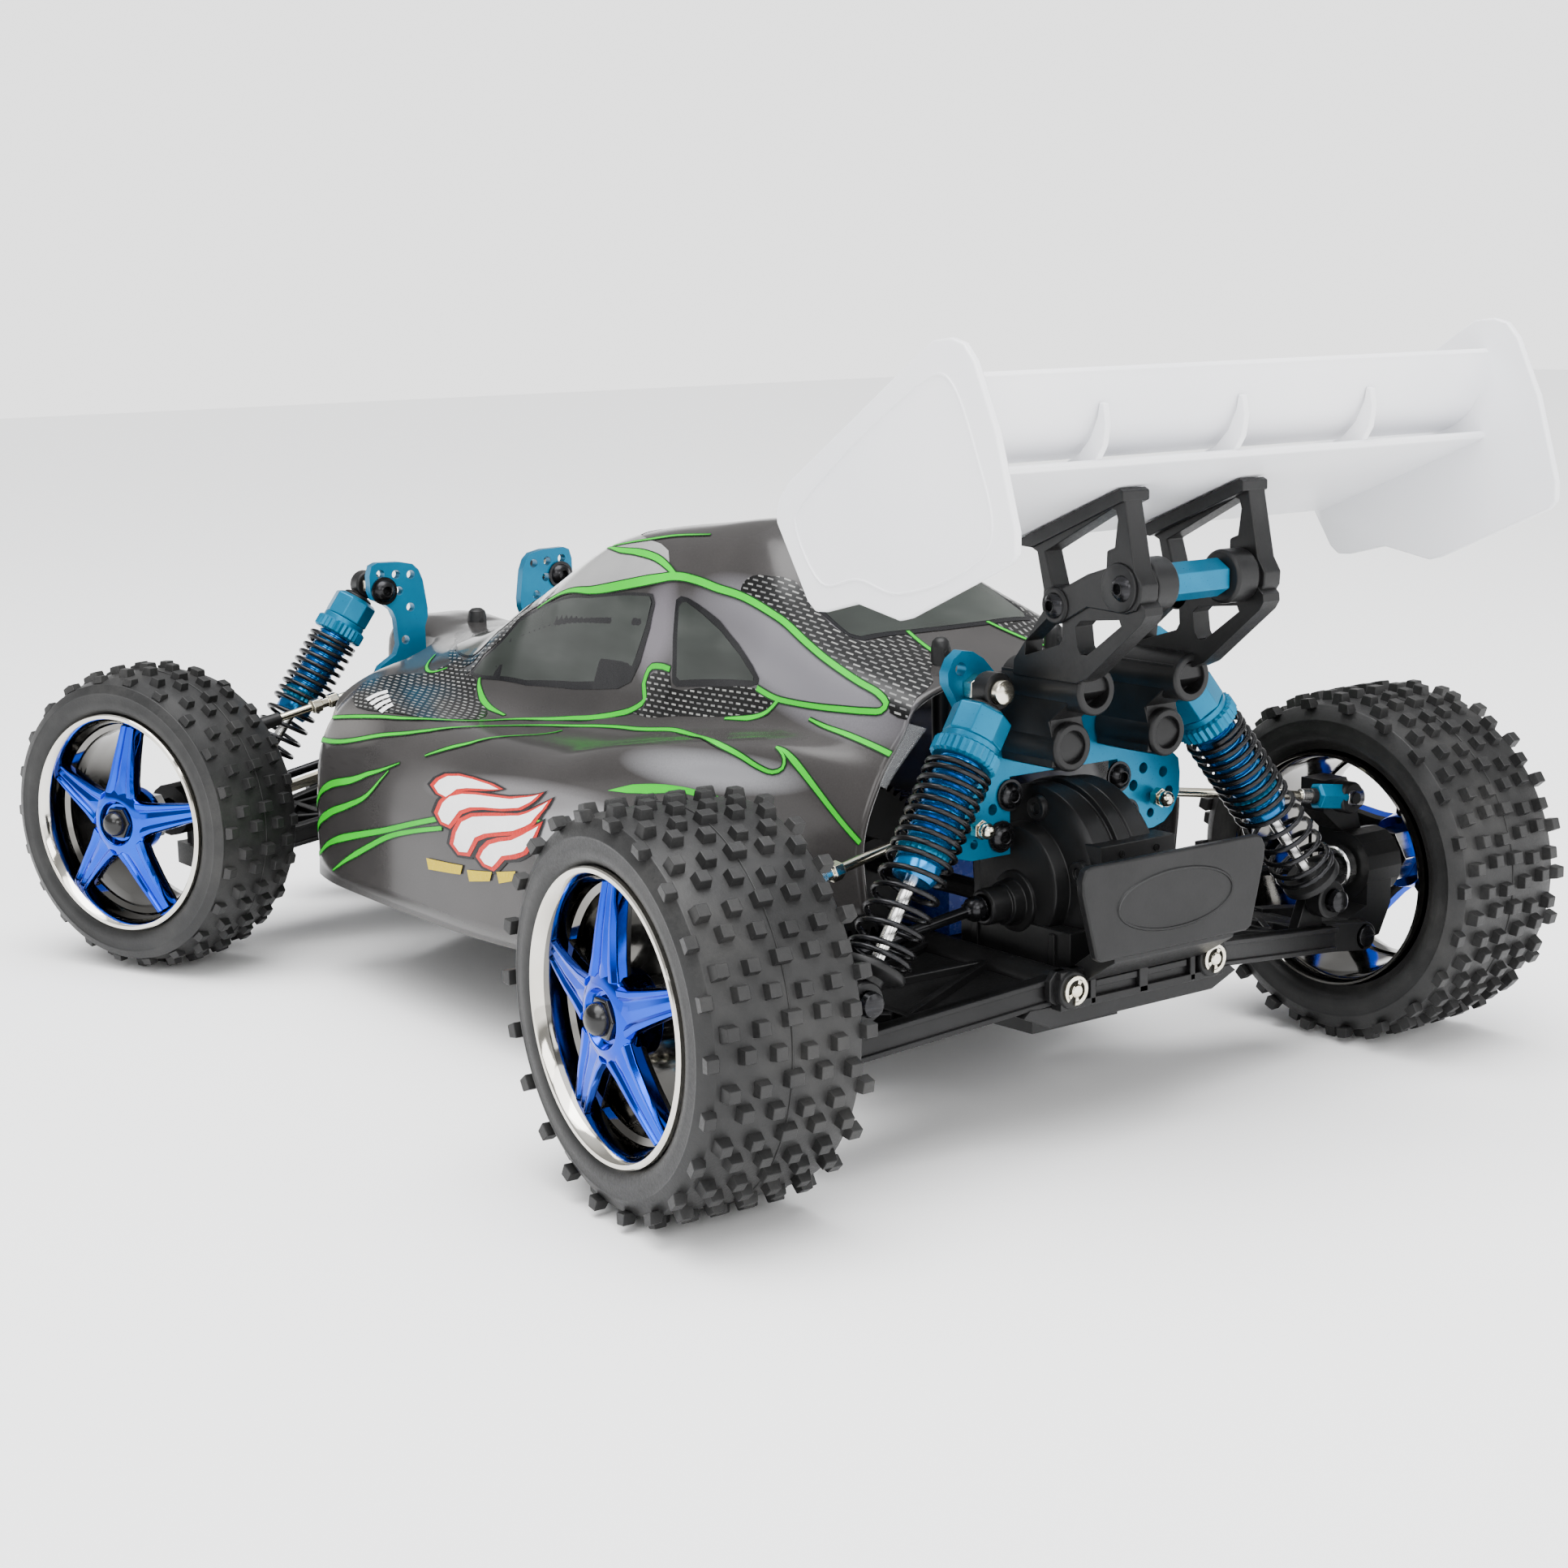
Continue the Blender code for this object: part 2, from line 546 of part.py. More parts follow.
def front_bumper():
    brace_x = FRONT_AXLE + 26.5
    pieces = hinge_brace(brace_x, FRONT_PIVOT, 52.0, 1)
    half = [(160.0, 13.0), (166.0, 26.0), (174.0, 40.0), (182.0, 44.0), (186.0, 38.0)]
    outline = half + [(x, -y) for x, y in reversed(half)]
    pieces.append(prism(outline, "z", FLOOR_TOP + GAP, FLOOR_TOP + GAP + 3.0))
    pieces.append(block((163.9, 168.0), (-12.0, 12.0), (26.0, 38.0)))
    pieces.append(prism([(183.0, 25.0), (186.0, 25.0), (186.5, 38.0), (183.5, 38.0)],
                        "y", -34.0, 34.0))
    return joined(*pieces)


# ---------------------------------------------------------------- frame pieces

def mirrored(half):
    """A whole outline from its left half, which starts and ends on the centre line."""
    return half + [(-y, z) for y, z in reversed(half) if y > 0.0]


def chassis():
    half = [(162.0, 12.0), (112.0, 15.5), (100.0, 40.0), (90.0, 58.0), (-60.0, 60.0),
            (-98.0, 40.0), (-112.0, 15.5), (-141.0, 13.0)]
    floor = prism(half + [(x, -y) for x, y in reversed(half)], "z", FLOOR_BOTTOM, FLOOR_TOP)
    pieces = [floor]
    for side in (-1, 1):
        rail = sorted((side * 55.5, side * 57.8))
        pieces.append(block((-58.0, 88.0), rail, (FLOOR_BOTTOM + 1.0, 34.0)))
    return joined(*pieces)


def front_tower():
    low, high = FRONT_TOWER_X
    half = [(0.0, 77.5), (14.5, 77.5), (17.4, 79.5), (17.4, 89.5), (16.3, 92.0), (17.4, 103.0),
            (20.7, 108.3), (25.0, 109.0), (33.0, 109.0), (35.2, 105.7), (35.0, 99.5),
            (28.2, 94.8), (26.4, 84.4), (33.5, 79.0), (34.0, 73.0), (29.0, 70.5), (24.0, 69.0),
            (22.0, 62.0), (15.9, 62.0), (15.9, 74.6), (0.0, 74.6)]
    plate = prism(mirrored(half), "x", low, high)
    return joined(plate, *tower_studs(high, low, FRONT_SHOCK_TOP, FRONT_LINK[0], 1))


def rear_tower():
    low, high = REAR_TOWER_X
    half = [(0.0, 97.0), (12.0, 98.0), (20.0, 103.0), (26.0, 108.5), (31.0, 108.0),
            (33.5, 103.0), (30.5, 97.0), (27.0, 90.0), (27.5, 82.0), (35.5, 78.0),
            (36.0, 70.0), (33.0, 64.0), (27.5, 62.0), (16.2, 62.0), (16.2, 79.5), (0.0, 79.5)]
    plate = prism(mirrored(half), "x", low, high)
    return joined(plate, *tower_studs(low, high, REAR_SHOCK_TOP, REAR_LINK[0], -1))


def tower_studs(shock_face, link_face, shock_top, link_end, outward):
    """The bolts that the shocks hang on and the ball studs of the camber links."""
    studs = []
    for side in (-1, 1):
        start = (shock_face - outward * 1.0, side * shock_top[1], shock_top[2])
        end = (shock_top[0] + outward * 4.5, side * shock_top[1], shock_top[2])
        studs.append(rod(start, end, PIN_RADIUS, 8))
        start = (link_face + outward * 1.0, side * link_end[1], link_end[2])
        end = (link_end[0] - outward * 3.5, side * link_end[1], link_end[2])
        studs.append(rod(start, end, PIN_RADIUS, 8))
    return studs


# ---------------------------------------------------------------- wing

def wing_mount():
    """A side stay: tubes that bolt to the tower, a triangulated leg and an open frame."""
    front = REAR_AXLE - 0.5
    frame = [(-147.2, 133.2), (-177.0, 144.8), (-178.5, 144.0), (-181.4, 128.6), (-183.5, 124.5),
             (-181.4, 120.3), (-178.4, 119.4), (-167.0, 119.9), (-157.4, 115.6), (-153.4, 119.6),
             (-151.4, 129.8), (-147.6, 131.6)]
    legs = [(front, 103.5), (front, 106.0), (-143.5, 107.4), (-153.8, 119.4), (-158.0, 121.5),
            (-178.0, 125.5), (-183.6, 120.5), (-182.5, 117.6), (-166.4, 104.8), (-163.0, 103.5)]
    low = MOUNT_Y - MOUNT_THICKNESS / 2
    high = MOUNT_Y + MOUNT_THICKNESS / 2
    frame_window = [(-154.4, 130.2), (-156.6, 123.8), (-158.2, 123.0), (-172.8, 128.6),
                    (-175.6, 133.0), (-176.0, 138.8)]
    front_leg_window = [(-146.6, 108.2), (-147.0, 111.0), (-153.8, 115.6), (-156.8, 112.6)]
    rear_leg_window = [(-163.6, 111.4), (-163.6, 116.6), (-175.6, 118.0), (-166.4, 110.0)]
    plate = joined(cut(prism(frame, "y", low, high), prism(frame_window, "y", low - 2, high + 2)),
                   cut(prism(legs, "y", low, high), prism(front_leg_window, "y", low - 2, high + 2),
                       prism(rear_leg_window, "y", low - 2, high + 2)))
    upper = rod((front, 14.1, 101.3), (-163.5, 14.1, 101.3), 5.4, 12)
    lower = rod((front, 14.1, 88.2), (-156.0, 14.1, 88.2), 5.4, 12)
    web = block((-151.0, front), (11.0, 17.2), (88.0, 102.0))
    boss = rod((PIVOT_BOLT[0], 8.4, PIVOT_BOLT[1]), (PIVOT_BOLT[0], 19.0, PIVOT_BOLT[1]), 5.8, 16)
    return joined(plate, upper, lower, web, boss)


def wing_spacer():
    x, z = PIVOT_BOLT
    return rod((x, -8.1, z), (x, 8.1, z), 4.1, 6)


def wing():
    """Two end plates joined by a mounting plane and, above a slot, a curved blade."""
    plate = [(-140.7, 148.3), (-135.9, 141.8), (-148.3, 122.4), (-162.9, 125.4), (-176.7, 123.1),
             (-210.5, 137.5), (-210.5, 142.2), (-205.1, 160.4), (-196.7, 175.9), (-188.5, 177.0),
             (-177.0, 170.0)]
    thickness = 2.0
    half = WING_HALF_WIDTH
    pieces = [prism(plate, "y", half - thickness, half), prism(plate, "y", -half, thickness - half)]
    plane = [(-144.0, 132.4), (-190.0, 150.4), (-190.6, 152.4), (-144.6, 134.6)]
    pieces.append(prism(plane, "y", 0.5 - half, half - 0.5))
    centre_x = -174.5
    centre_z = 168.5
    blade = []
    for radius in (15.0, 17.0):
        arc = [math.radians(angle) for angle in (180, 200, 220, 240, 258)]
        if radius > 16.0:
            arc.reverse()
        for angle in arc:
            blade.append((centre_x + radius * math.cos(angle), centre_z + radius * math.sin(angle)))
    pieces.append(prism(blade, "y", 0.5 - half, half - 0.5))
    for y in (-38.0, 0.0, 38.0):
        rib = [(-178.0, 146.5), (-189.0, 150.8), (-191.5, 157.5), (-190.0, 162.5), (-182.0, 155.0)]
        pieces.append(prism(rib, "y", y - 0.8, y + 0.8))
    return joined(*pieces)


# ---------------------------------------------------------------- body shell

# Half sections from the centre line to the lower edge: roof, roof edge, ridge, foot of the
# cab side, shoulder, ledge and lower edge, each (y, z), at places along the car.
SHELL_SECTIONS = [
    (158.5, [(0, 86.5), (8, 86.3), (12.5, 84.8), (15.0, 82.0), (15.6, 80.0), (15.9, 77.6), (16, 75.0)]),
    (156.0, [(0, 89.6), (9, 89.4), (14.0, 87.6), (16.6, 84.0), (17.2, 81.0), (17.4, 78.2), (17.4, 75.4)]),
    (146.0, [(0, 90.2), (9, 89.9), (13.8, 88.2), (16.2, 85.0), (16.6, 82.0), (16.7, 79.4), (16.6, 77.0)]),
    (134.5, [(0, 89.6), (8, 89.3), (12.6, 88.0), (15.2, 86.0), (15.7, 83.6), (15.8, 81.5), (15.8, 79.5)]),
    (128.0, [(0, 89.0), (8, 88.7), (13.0, 87.6), (15.8, 86.0), (16.5, 84.2), (16.7, 82.4), (16.8, 80.5)]),
    (115.0, [(0, 89.0), (10, 88.6), (18, 87.2), (24.5, 85.0), (32.0, 82.5), (38.0, 80.0), (41.0, 76.5)]),
    (101.0, [(0, 90.4), (13, 89.8), (24, 87.4), (35.0, 84.0), (53.0, 80.4), (62.0, 74.5), (50.0, 70.0)]),
    (97.0, [(0, 91.0), (14, 90.3), (26, 87.6), (37.0, 83.8), (56.0, 79.4), (67.0, 69.0), (67.0, 31.0)]),
    (88.0, [(0, 93.0), (17, 91.8), (31, 87.8), (42.0, 82.6), (62.0, 78.2), (73.5, 66.0), (77.0, 28.6)]),
    (72.0, [(0, 98.4), (19, 96.6), (36, 87.4), (44.6, 80.6), (66.0, 76.9), (76.0, 63.5), (79.0, 28.0)]),
    (55.0, [(0, 106.0), (20, 103.8), (36.4, 94.6), (45.4, 80.2), (68.0, 76.0), (77.0, 61.5), (79.6, 28.0)]),
    (37.0, [(0, 113.6), (21, 111.6), (33.0, 104.8), (46.0, 79.4), (69.0, 75.3), (77.3, 60.8), (80.0, 28.0)]),
    (10.0, [(0, 124.6), (22, 123.0), (33, 114.0), (46.0, 79.0), (70.0, 75.0), (77.3, 60.5), (80.0, 28.0)]),
    (-28.0, [(0, 129.0), (21, 128.0), (32, 117.0), (46.0, 80.0), (70.0, 76.0), (77.0, 62.0), (79.0, 29.0)]),
    (-50.0, [(0, 131.0), (19, 130.0), (32, 115.5), (45.0, 83.0), (68.0, 80.0), (73.5, 69.0), (73.0, 32.0)]),
    (-75.0, [(0, 118.5), (20, 117.8), (33.5, 110.5), (44.5, 86.5), (61.5, 83.5), (66.0, 73.0), (65.0, 37.0)]),
    (-97.0, [(0, 107.5), (25, 107.0), (36.0, 103.5), (43.0, 89.0), (53.0, 85.0), (57.0, 70.0), (56.0, 44.0)]),
    (-125.0, [(0, 100.5), (22, 99.5), (33.0, 95.0), (36.0, 90.0), (42.5, 80.5), (48.0, 67.0), (47.0, 51.0)]),
]


def body_shell():
    """A thin vacuum-formed shell, open below, from the nose to the rear deck."""
    bm = bmesh.new()
    rows = []
    for x, half in SHELL_SECTIONS:
        left = [(x, y, z) for y, z in half]
        right = [(x, -y, z) for y, z in half if y > 0]
        rows.append([bm.verts.new(point) for point in list(reversed(right)) + left])
    for front, back in zip(rows, rows[1:]):
        for index in range(len(front) - 1):
            bm.faces.new((front[index], front[index + 1], back[index + 1], back[index]))
    tip = rows[0]
    bm.faces.new(tip)
    shell = solid(bm)
    highest = max(shell.data.polygons, key=lambda face: face.center.z)
    if highest.normal.z < 0.0:
        shell.data.flip_normals()
    thick = shell.modifiers.new("thickness", "SOLIDIFY")
    thick.thickness = SHELL_THICKNESS * MM
    thick.offset = -1.0
    return shell


# ---------------------------------------------------------------- the whole car

def build_corner(axle_name, side_name, car):
    """One wheel with its suspension; everything is drawn for the left side."""
    side = 1 if side_name == "left" else -1
    corner = f"{axle_name}_{side_name}"
    front = axle_name == "front"
    axle = FRONT_AXLE if front else REAR_AXLE
    pivot = FRONT_PIVOT if front else REAR_PIVOT
    span = FRONT_ARM_SPAN if front else REAR_ARM_SPAN
    top = FRONT_SHOCK_TOP if front else REAR_SHOCK_TOP
    foot = FRONT_SHOCK_FOOT if front else REAR_SHOCK_FOOT
    camber = FRONT_LINK if front else REAR_LINK
    shaft = FRONT_SHAFT if front else REAR_SHAFT
    outward = 1 if front else -1
    pin = tuple(Vector(pivot) + Vector(span))

    def put(name, piece, finish, at):
        node(f"{corner}_{name}", piece, finish, car, pivot=at, side=side)

    put("lower_arm", lower_arm(axle, outward, pivot, span, foot), "moulded_black", (axle, *pivot))
    hub = front_hub(pin) if front else rear_hub(pin)
    put("hub_carrier", hub, "moulded_black", (axle, *pin))
    put("camber_link", link(camber[0], camber[1], (1, 0, 0)), "steel", camber[0])
    put("drive_shaft", drive_shaft(axle, shaft), "dark_steel", (axle, *shaft[0]))
    put("shock_body", shock_body(top, foot), "blue_aluminium", top)
    put("shock_shaft", shock_shaft(top, foot), "steel", foot)
    put("spring", spring(top, foot), "dark_steel", top)

    hub_centre = (axle, KINGPIN_Y, TYRE_RADIUS)
    turn = STEER_ANGLE if front else -side * TOE_IN
    swivel_name = f"{corner}_kingpin_axis" if front else f"{corner}_toe"
    swivel = empty(swivel_name, (axle, side * KINGPIN_Y, TYRE_RADIUS), car, turn)
    width = FRONT_TYRE_WIDTH if front else REAR_TYRE_WIDTH
    face = FRONT_RIM_FACE if front else REAR_RIM_FACE
    axle_end = face - (88.0 if front else 88.1)

    def put_steered(name, piece, finish):
        node(f"{corner}_{name}", piece, finish, swivel, hub_centre, hub_centre, side)

    put_steered("tyre", tyre(axle, face, width), "rubber")
    put_steered("rim", rim(axle, face, width, axle_end, not front), "chrome")
    if front:
        put_steered("steering_knuckle", knuckle(), "moulded_black")


def build_car():
    car = empty("car", (MID_LENGTH_X, 0.0, 0.0))
    for axle_name in ("front", "rear"):
        for side_name in ("left", "right"):
            build_corner(axle_name, side_name, car)

    node("chassis", chassis(), "moulded_black", car)
    node("front_gearbox", gearbox(FRONT_AXLE, 1, 17.6, 56.0, FRONT_SHAFT), "moulded_black", car)
    node("rear_gearbox", gearbox(REAR_AXLE, -1, 22.0, 55.0, REAR_SHAFT), "moulded_black", car)
    node("front_bumper", front_bumper(), "moulded_black", car)
    node("rear_bumper", rear_bumper(), "moulded_black", car)
    node("front_shock_tower", front_tower(), "blue_aluminium", car)
    node("rear_shock_tower", rear_tower(), "blue_aluminium", car)
    for side_name, side in (("left", 1), ("right", -1)):
        node(f"wing_mount_{side_name}", wing_mount(), "moulded_black", car, side=side)
    node("wing_spacer", wing_spacer(), "blue_aluminium", car)
    node("wing", wing(), "white_nylon", car)
    node("body_shell", body_shell(), "painted_shell", car)

    node("drag_link", drag_link(), "steel", car, pivot=(DRAG_LINK_X, -LINK_TRAVEL, 55.8))
    for side_name, side in (("left", 1), ("right", -1)):
        inner = (DRAG_LINK_X, side * TIE_ROD_INNER_Y - LINK_TRAVEL, TIE_ROD_INNER_Z)
        node(f"tie_rod_{side_name}", tie_rod(side), "steel", car, pivot=inner)
    node("servo_saver", servo_saver(), "moulded_black", car, pivot=(*SAVER_PIVOT, 52.3))
    servo = block((66.0, 106.0), (12.0, 32.0), (FLOOR_TOP + GAP, 50.5))
    node("steering_servo", servo, "moulded_black", car)

    node("spur_gear", spur_gear(), "dark_steel", car, pivot=(0.0, 0.0, SHAFT_Z))
    node("pinion", pinion(), "steel", car, pivot=(SPUR_X[1], motor_y(), MOTOR_Z))
    node("motor", motor(), "motor_can", car)
    battery = block((-70.0, 66.0), (-54.9, -21.5), (FLOOR_TOP + GAP, 49.0))
    node("battery_pack", battery, "battery_wrap", car)
    control = block((12.0, 50.0), (24.0, 52.0), (FLOOR_TOP + GAP, 42.0))
    node("speed_control", control, "moulded_black", car)


clear_scene()
build_car()
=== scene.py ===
"""The visible RC buggy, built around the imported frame.

Points are written in millimetres in the car's own coordinates: x = 0 midway between the
axles, +X to the front, +Y to the left, z = 0 on the ground. MM and MIDDLE turn them into
the frame's metres. Joint positions come from the frame.
"""
import json
import math

import bmesh
import bpy
from mathutils import Matrix, Vector
from mathutils.geometry import delaunay_2d_cdt


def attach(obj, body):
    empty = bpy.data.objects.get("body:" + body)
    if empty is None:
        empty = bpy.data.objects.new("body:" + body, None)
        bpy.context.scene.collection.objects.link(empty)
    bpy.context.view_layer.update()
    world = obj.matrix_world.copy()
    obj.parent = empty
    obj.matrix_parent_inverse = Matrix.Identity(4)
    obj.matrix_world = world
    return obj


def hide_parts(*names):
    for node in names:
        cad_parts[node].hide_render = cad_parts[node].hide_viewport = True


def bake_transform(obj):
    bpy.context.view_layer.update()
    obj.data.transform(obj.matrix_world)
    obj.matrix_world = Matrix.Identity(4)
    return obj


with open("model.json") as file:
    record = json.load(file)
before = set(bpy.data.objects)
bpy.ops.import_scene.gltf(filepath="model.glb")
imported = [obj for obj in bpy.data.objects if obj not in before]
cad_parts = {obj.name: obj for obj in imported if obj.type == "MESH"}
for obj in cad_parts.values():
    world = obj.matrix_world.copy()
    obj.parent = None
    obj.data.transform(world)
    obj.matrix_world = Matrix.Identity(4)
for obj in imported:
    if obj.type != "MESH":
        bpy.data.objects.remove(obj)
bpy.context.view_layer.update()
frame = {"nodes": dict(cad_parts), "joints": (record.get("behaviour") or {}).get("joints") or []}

MM = 0.001
JOINTS = {joint["name"]: joint for joint in frame["joints"]}


def joint_place(name):
    """A joint's position in millimetres, in the frame's coordinates."""
    return Vector(JOINTS[name]["pos_m"]) / MM


MIDDLE = (joint_place("front_left_spin").x + joint_place("rear_left_spin").x) / 2


def car_place(name):
    """A joint's position in the car's coordinates."""
    return joint_place(name) - Vector((MIDDLE, 0, 0))


FRONT_AXLE = car_place("front_left_spin").x
REAR_AXLE = car_place("rear_left_spin").x
HUB_Z = car_place("rear_left_spin").z
KINGPIN_Y = car_place("front_left_spin").y
TYRE_RADIUS = HUB_Z
REAR_WIDTH = 38.0      # tyre widths
FRONT_WIDTH = 32.0
REAR_FACE = 123.2      # y of the wheels' outer faces
FRONT_FACE = 124.0
AXLE_END_Y = 88.0      # y of the wheel axles' inner ends
HINGE_Y = 20.9         # the arms' inner hinge pins
FRONT_HINGE_Z = 41.5
REAR_HINGE_Z = 36.9
REAR_PIN_Z = 37.0      # where the brace holds the rear pins
SIDES = (("left", 1), ("right", -1))
FULL_TURN = 2 * math.pi


# ---------------------------------------------------------------- materials

def new_material(name, colour, roughness, metallic=0, coat=0, specular=0.5, alpha=1):
    material = bpy.data.materials.new(name)
    material.use_nodes = True
    shader = material.node_tree.nodes["Principled BSDF"]
    shader.inputs["Base Color"].default_value = (*colour, 1)
    shader.inputs["Roughness"].default_value = roughness
    shader.inputs["Metallic"].default_value = metallic
    shader.inputs["Coat Weight"].default_value = coat
    shader.inputs["Coat Roughness"].default_value = 0.06
    shader.inputs["Specular IOR Level"].default_value = specular
    shader.inputs["Alpha"].default_value = alpha
    return material


class Nodes:
    """Short calls that add and wire shader nodes of one material."""

    def __init__(self, material):
        self.tree = material.node_tree
        self.shader = self.tree.nodes["Principled BSDF"]
        self.coords = self.tree.nodes.new("ShaderNodeTexCoord").outputs["Object"]

    def add(self, kind, **settings):
        node = self.tree.nodes.new(kind)
        for key, value in settings.items():
            setattr(node, key, value)
        return node

    def link(self, output, target):
        self.tree.links.new(output, target)

    def noise(self, scale, detail=4, roughness=0.6, coords=None):
        node = self.add("ShaderNodeTexNoise")
        node.inputs["Scale"].default_value = scale
        node.inputs["Detail"].default_value = detail
        node.inputs["Roughness"].default_value = roughness
        self.link(coords or self.coords, node.inputs["Vector"])
        return node.outputs["Fac"]

    def ramp(self, value, stops):
        node = self.add("ShaderNodeValToRGB")
        elements = node.color_ramp.elements
        while len(elements) < len(stops):
            elements.new(0.5)
        for element, (position, colour) in zip(elements, stops):
            element.position = position
            level = colour if isinstance(colour, tuple) else (colour, colour, colour)
            element.color = (*level, 1)
        self.link(value, node.inputs["Fac"])
        return node.outputs["Color"]

    def math(self, operation, a, b=0, clamp=False):
        node = self.add("ShaderNodeMath", operation=operation, use_clamp=clamp)
        for socket, value in zip(node.inputs, (a, b)):
            if isinstance(value, (int, float)):
                socket.default_value = value
            else:
                self.link(value, socket)
        return node.outputs[0]

    def mix(self, factor, a, b):
        node = self.add("ShaderNodeMix", data_type="RGBA")
        sockets = (node.inputs["Factor"], node.inputs[6], node.inputs[7])
        for socket, value in zip(sockets, (factor, a, b)):
            if isinstance(value, tuple):
                socket.default_value = (*value, 1)
            elif isinstance(value, (int, float)):
                socket.default_value = value
            else:
                self.link(value, socket)
        return node.outputs[2]

    def axes(self):
        node = self.add("ShaderNodeSeparateXYZ")
        self.link(self.coords, node.inputs[0])
        return node.outputs

    def mapped(self, scale, rotation=(0, 0, 0)):
        node = self.add("ShaderNodeMapping")
        node.inputs["Scale"].default_value = scale
        node.inputs["Rotation"].default_value = rotation
        self.link(self.coords, node.inputs["Vector"])
        return node.outputs[0]

    def colour(self, value):
        self.link(value, self.shader.inputs["Base Color"])

    def roughness(self, value):
        self.link(value, self.shader.inputs["Roughness"])

    def bump(self, height, strength, distance):
        node = self.add("ShaderNodeBump")
        node.inputs["Strength"].default_value = strength
        node.inputs["Distance"].default_value = distance
        self.link(height, node.inputs["Height"])
        self.link(node.outputs[0], self.shader.inputs["Normal"])


def speckled(name, dark, light, rough, metallic=0, coat=0, specular=0.5, scale=900,
             bump=0.25, patches=60):
    """A finish whose colour drifts in patches and whose surface has a fine grain."""
    material = new_material(name, dark, rough[0], metallic, coat, specular)
    nodes = Nodes(material)
    broad = nodes.noise(patches, 3)
    nodes.colour(nodes.ramp(broad, [(0.35, dark), (0.68, light)]))
    grain = nodes.noise(scale, 5, 0.65)
    nodes.roughness(nodes.ramp(grain, [(0.3, rough[0]), (0.7, rough[1])]))
    nodes.bump(grain, bump, 0.1 * MM)
    return material


def rubber_material():
    """Soft rubber: dark, matt, a little dusty where it is worn, with a moulded grain."""
    material = new_material("tyre_rubber", (0.01, 0.01, 0.01), 0.5, specular=0.3)
    nodes = Nodes(material)
    broad = nodes.noise(45, 4, 0.65)
    fine = nodes.noise(1500, 5, 0.7)
    mixed = nodes.math("MULTIPLY", broad, nodes.math("ADD", nodes.math("MULTIPLY", fine, 0.5),
                                                     0.75))
    nodes.colour(nodes.ramp(mixed, [(0.32, (0.0065, 0.0065, 0.0065)),
                                    (0.5, (0.0125, 0.0125, 0.0125)),
                                    (0.72, (0.026, 0.0255, 0.0245))]))
    nodes.roughness(nodes.ramp(fine, [(0.3, 0.38), (0.7, 0.56)]))
    nodes.bump(fine, 0.3, 0.2 * MM)
    return material


def brushed_material(name, dark, light, rough, metallic=1):
    """Machined or anodised metal with fine lines."""
    material = new_material(name, dark, rough[0], metallic)
    nodes = Nodes(material)
    lines = nodes.noise(1, 5, 0.6, nodes.mapped((40, 40, 900)))
    nodes.colour(nodes.ramp(lines, [(0.3, dark), (0.7, light)]))
    nodes.roughness(nodes.ramp(lines, [(0.3, rough[0]), (0.7, rough[1])]))
    nodes.bump(lines, 0.08, 0.05 * MM)
    return material


def chrome_material(name, tint, warm):
    """Vacuum-plated plastic: mirror-like, with faint clouds of warmer tone."""
    material = new_material(name, tint, 0.06, 1)
    nodes = Nodes(material)
    cloud = nodes.noise(35, 3)
    nodes.colour(nodes.ramp(cloud, [(0.35, tint), (0.65, warm)]))
    fine = nodes.noise(700, 3)
    nodes.roughness(nodes.ramp(fine, [(0.3, 0.05), (0.75, 0.13)]))
    nodes.bump(nodes.noise(160, 2), 0.03, 0.1 * MM)
    return material


RUBBER = rubber_material()
CHROME = chrome_material("wheel_chrome", (0.72, 0.70, 0.65), (0.56, 0.53, 0.46))
# The barrel uses a darker copy of the rim chrome: painted shade inside the wheel.
SHADED_BARREL_CHROME = chrome_material("barrel_chrome_painted_shade", (0.20, 0.195, 0.185), (0.13, 0.125, 0.115))
STAR_BLUE = chrome_material("star_blue", (0.003, 0.035, 0.50), (0.006, 0.08, 0.66))
BLACK = speckled("moulded_black", (0.0040, 0.0040, 0.0042), (0.0085, 0.0085, 0.0088), (0.34, 0.48),
                 specular=0.24, scale=1400, bump=0.2)
GLOSS_BLACK = speckled("glossy_black", (0.004, 0.004, 0.004), (0.008, 0.008, 0.008), (0.16, 0.26),
                       specular=0.4, scale=500, bump=0.05)
CYAN = speckled("cyan_anodised", (0, 0.12, 0.23), (0, 0.17, 0.31), (0.26, 0.38), metallic=0.5,
                specular=0.25,
                scale=2200, bump=0.12, patches=50)
DEEP_BLUE = speckled("blue_anodised", (0, 0.13, 0.38), (0, 0.21, 0.52), (0.12, 0.22), metallic=0.75,
                     scale=1200, bump=0.08, patches=80)
STEEL = brushed_material("bright_steel", (0.60, 0.60, 0.60), (0.78, 0.77, 0.75), (0.14, 0.28))
BRASSY = brushed_material("plated_steel", (0.62, 0.56, 0.42), (0.80, 0.78, 0.68), (0.12, 0.24))
DARK_STEEL = brushed_material("black_steel", (0.010, 0.010, 0.011), (0.026, 0.026, 0.028),
                              (0.18, 0.32),
                              metallic=0.8)
WHITE = speckled("wing_nylon", (0.80, 0.81, 0.84), (0.87, 0.87, 0.89), (0.32, 0.45),
                 scale=800, bump=0.06, patches=12)


# ---------------------------------------------------------------- mesh pieces

def along(axis, low, point):
    """A point of an outline that is extruded along an axis."""
    a, b = point
    return {"x": (low, a, b), "y": (a, low, b), "z": (a, b, low)}[axis]


def bridge(bm, rows, closed=True):
    """Faces between neighbouring rows of vertices; a row may repeat one vertex."""
    for low, high in zip(rows, rows[1:]):
        for index in range(len(low) if closed else len(low) - 1):
            after = (index + 1) % len(low)
            corners = list(dict.fromkeys((low[index], low[after], high[after], high[index])))
            if len(corners) > 2:
                bm.faces.new(corners)


def around(radius, share, height=0):
    """A point of a circle about Z, at a share of the full turn."""
    angle = FULL_TURN * share
    return Vector((radius * math.cos(angle), radius * math.sin(angle), height))


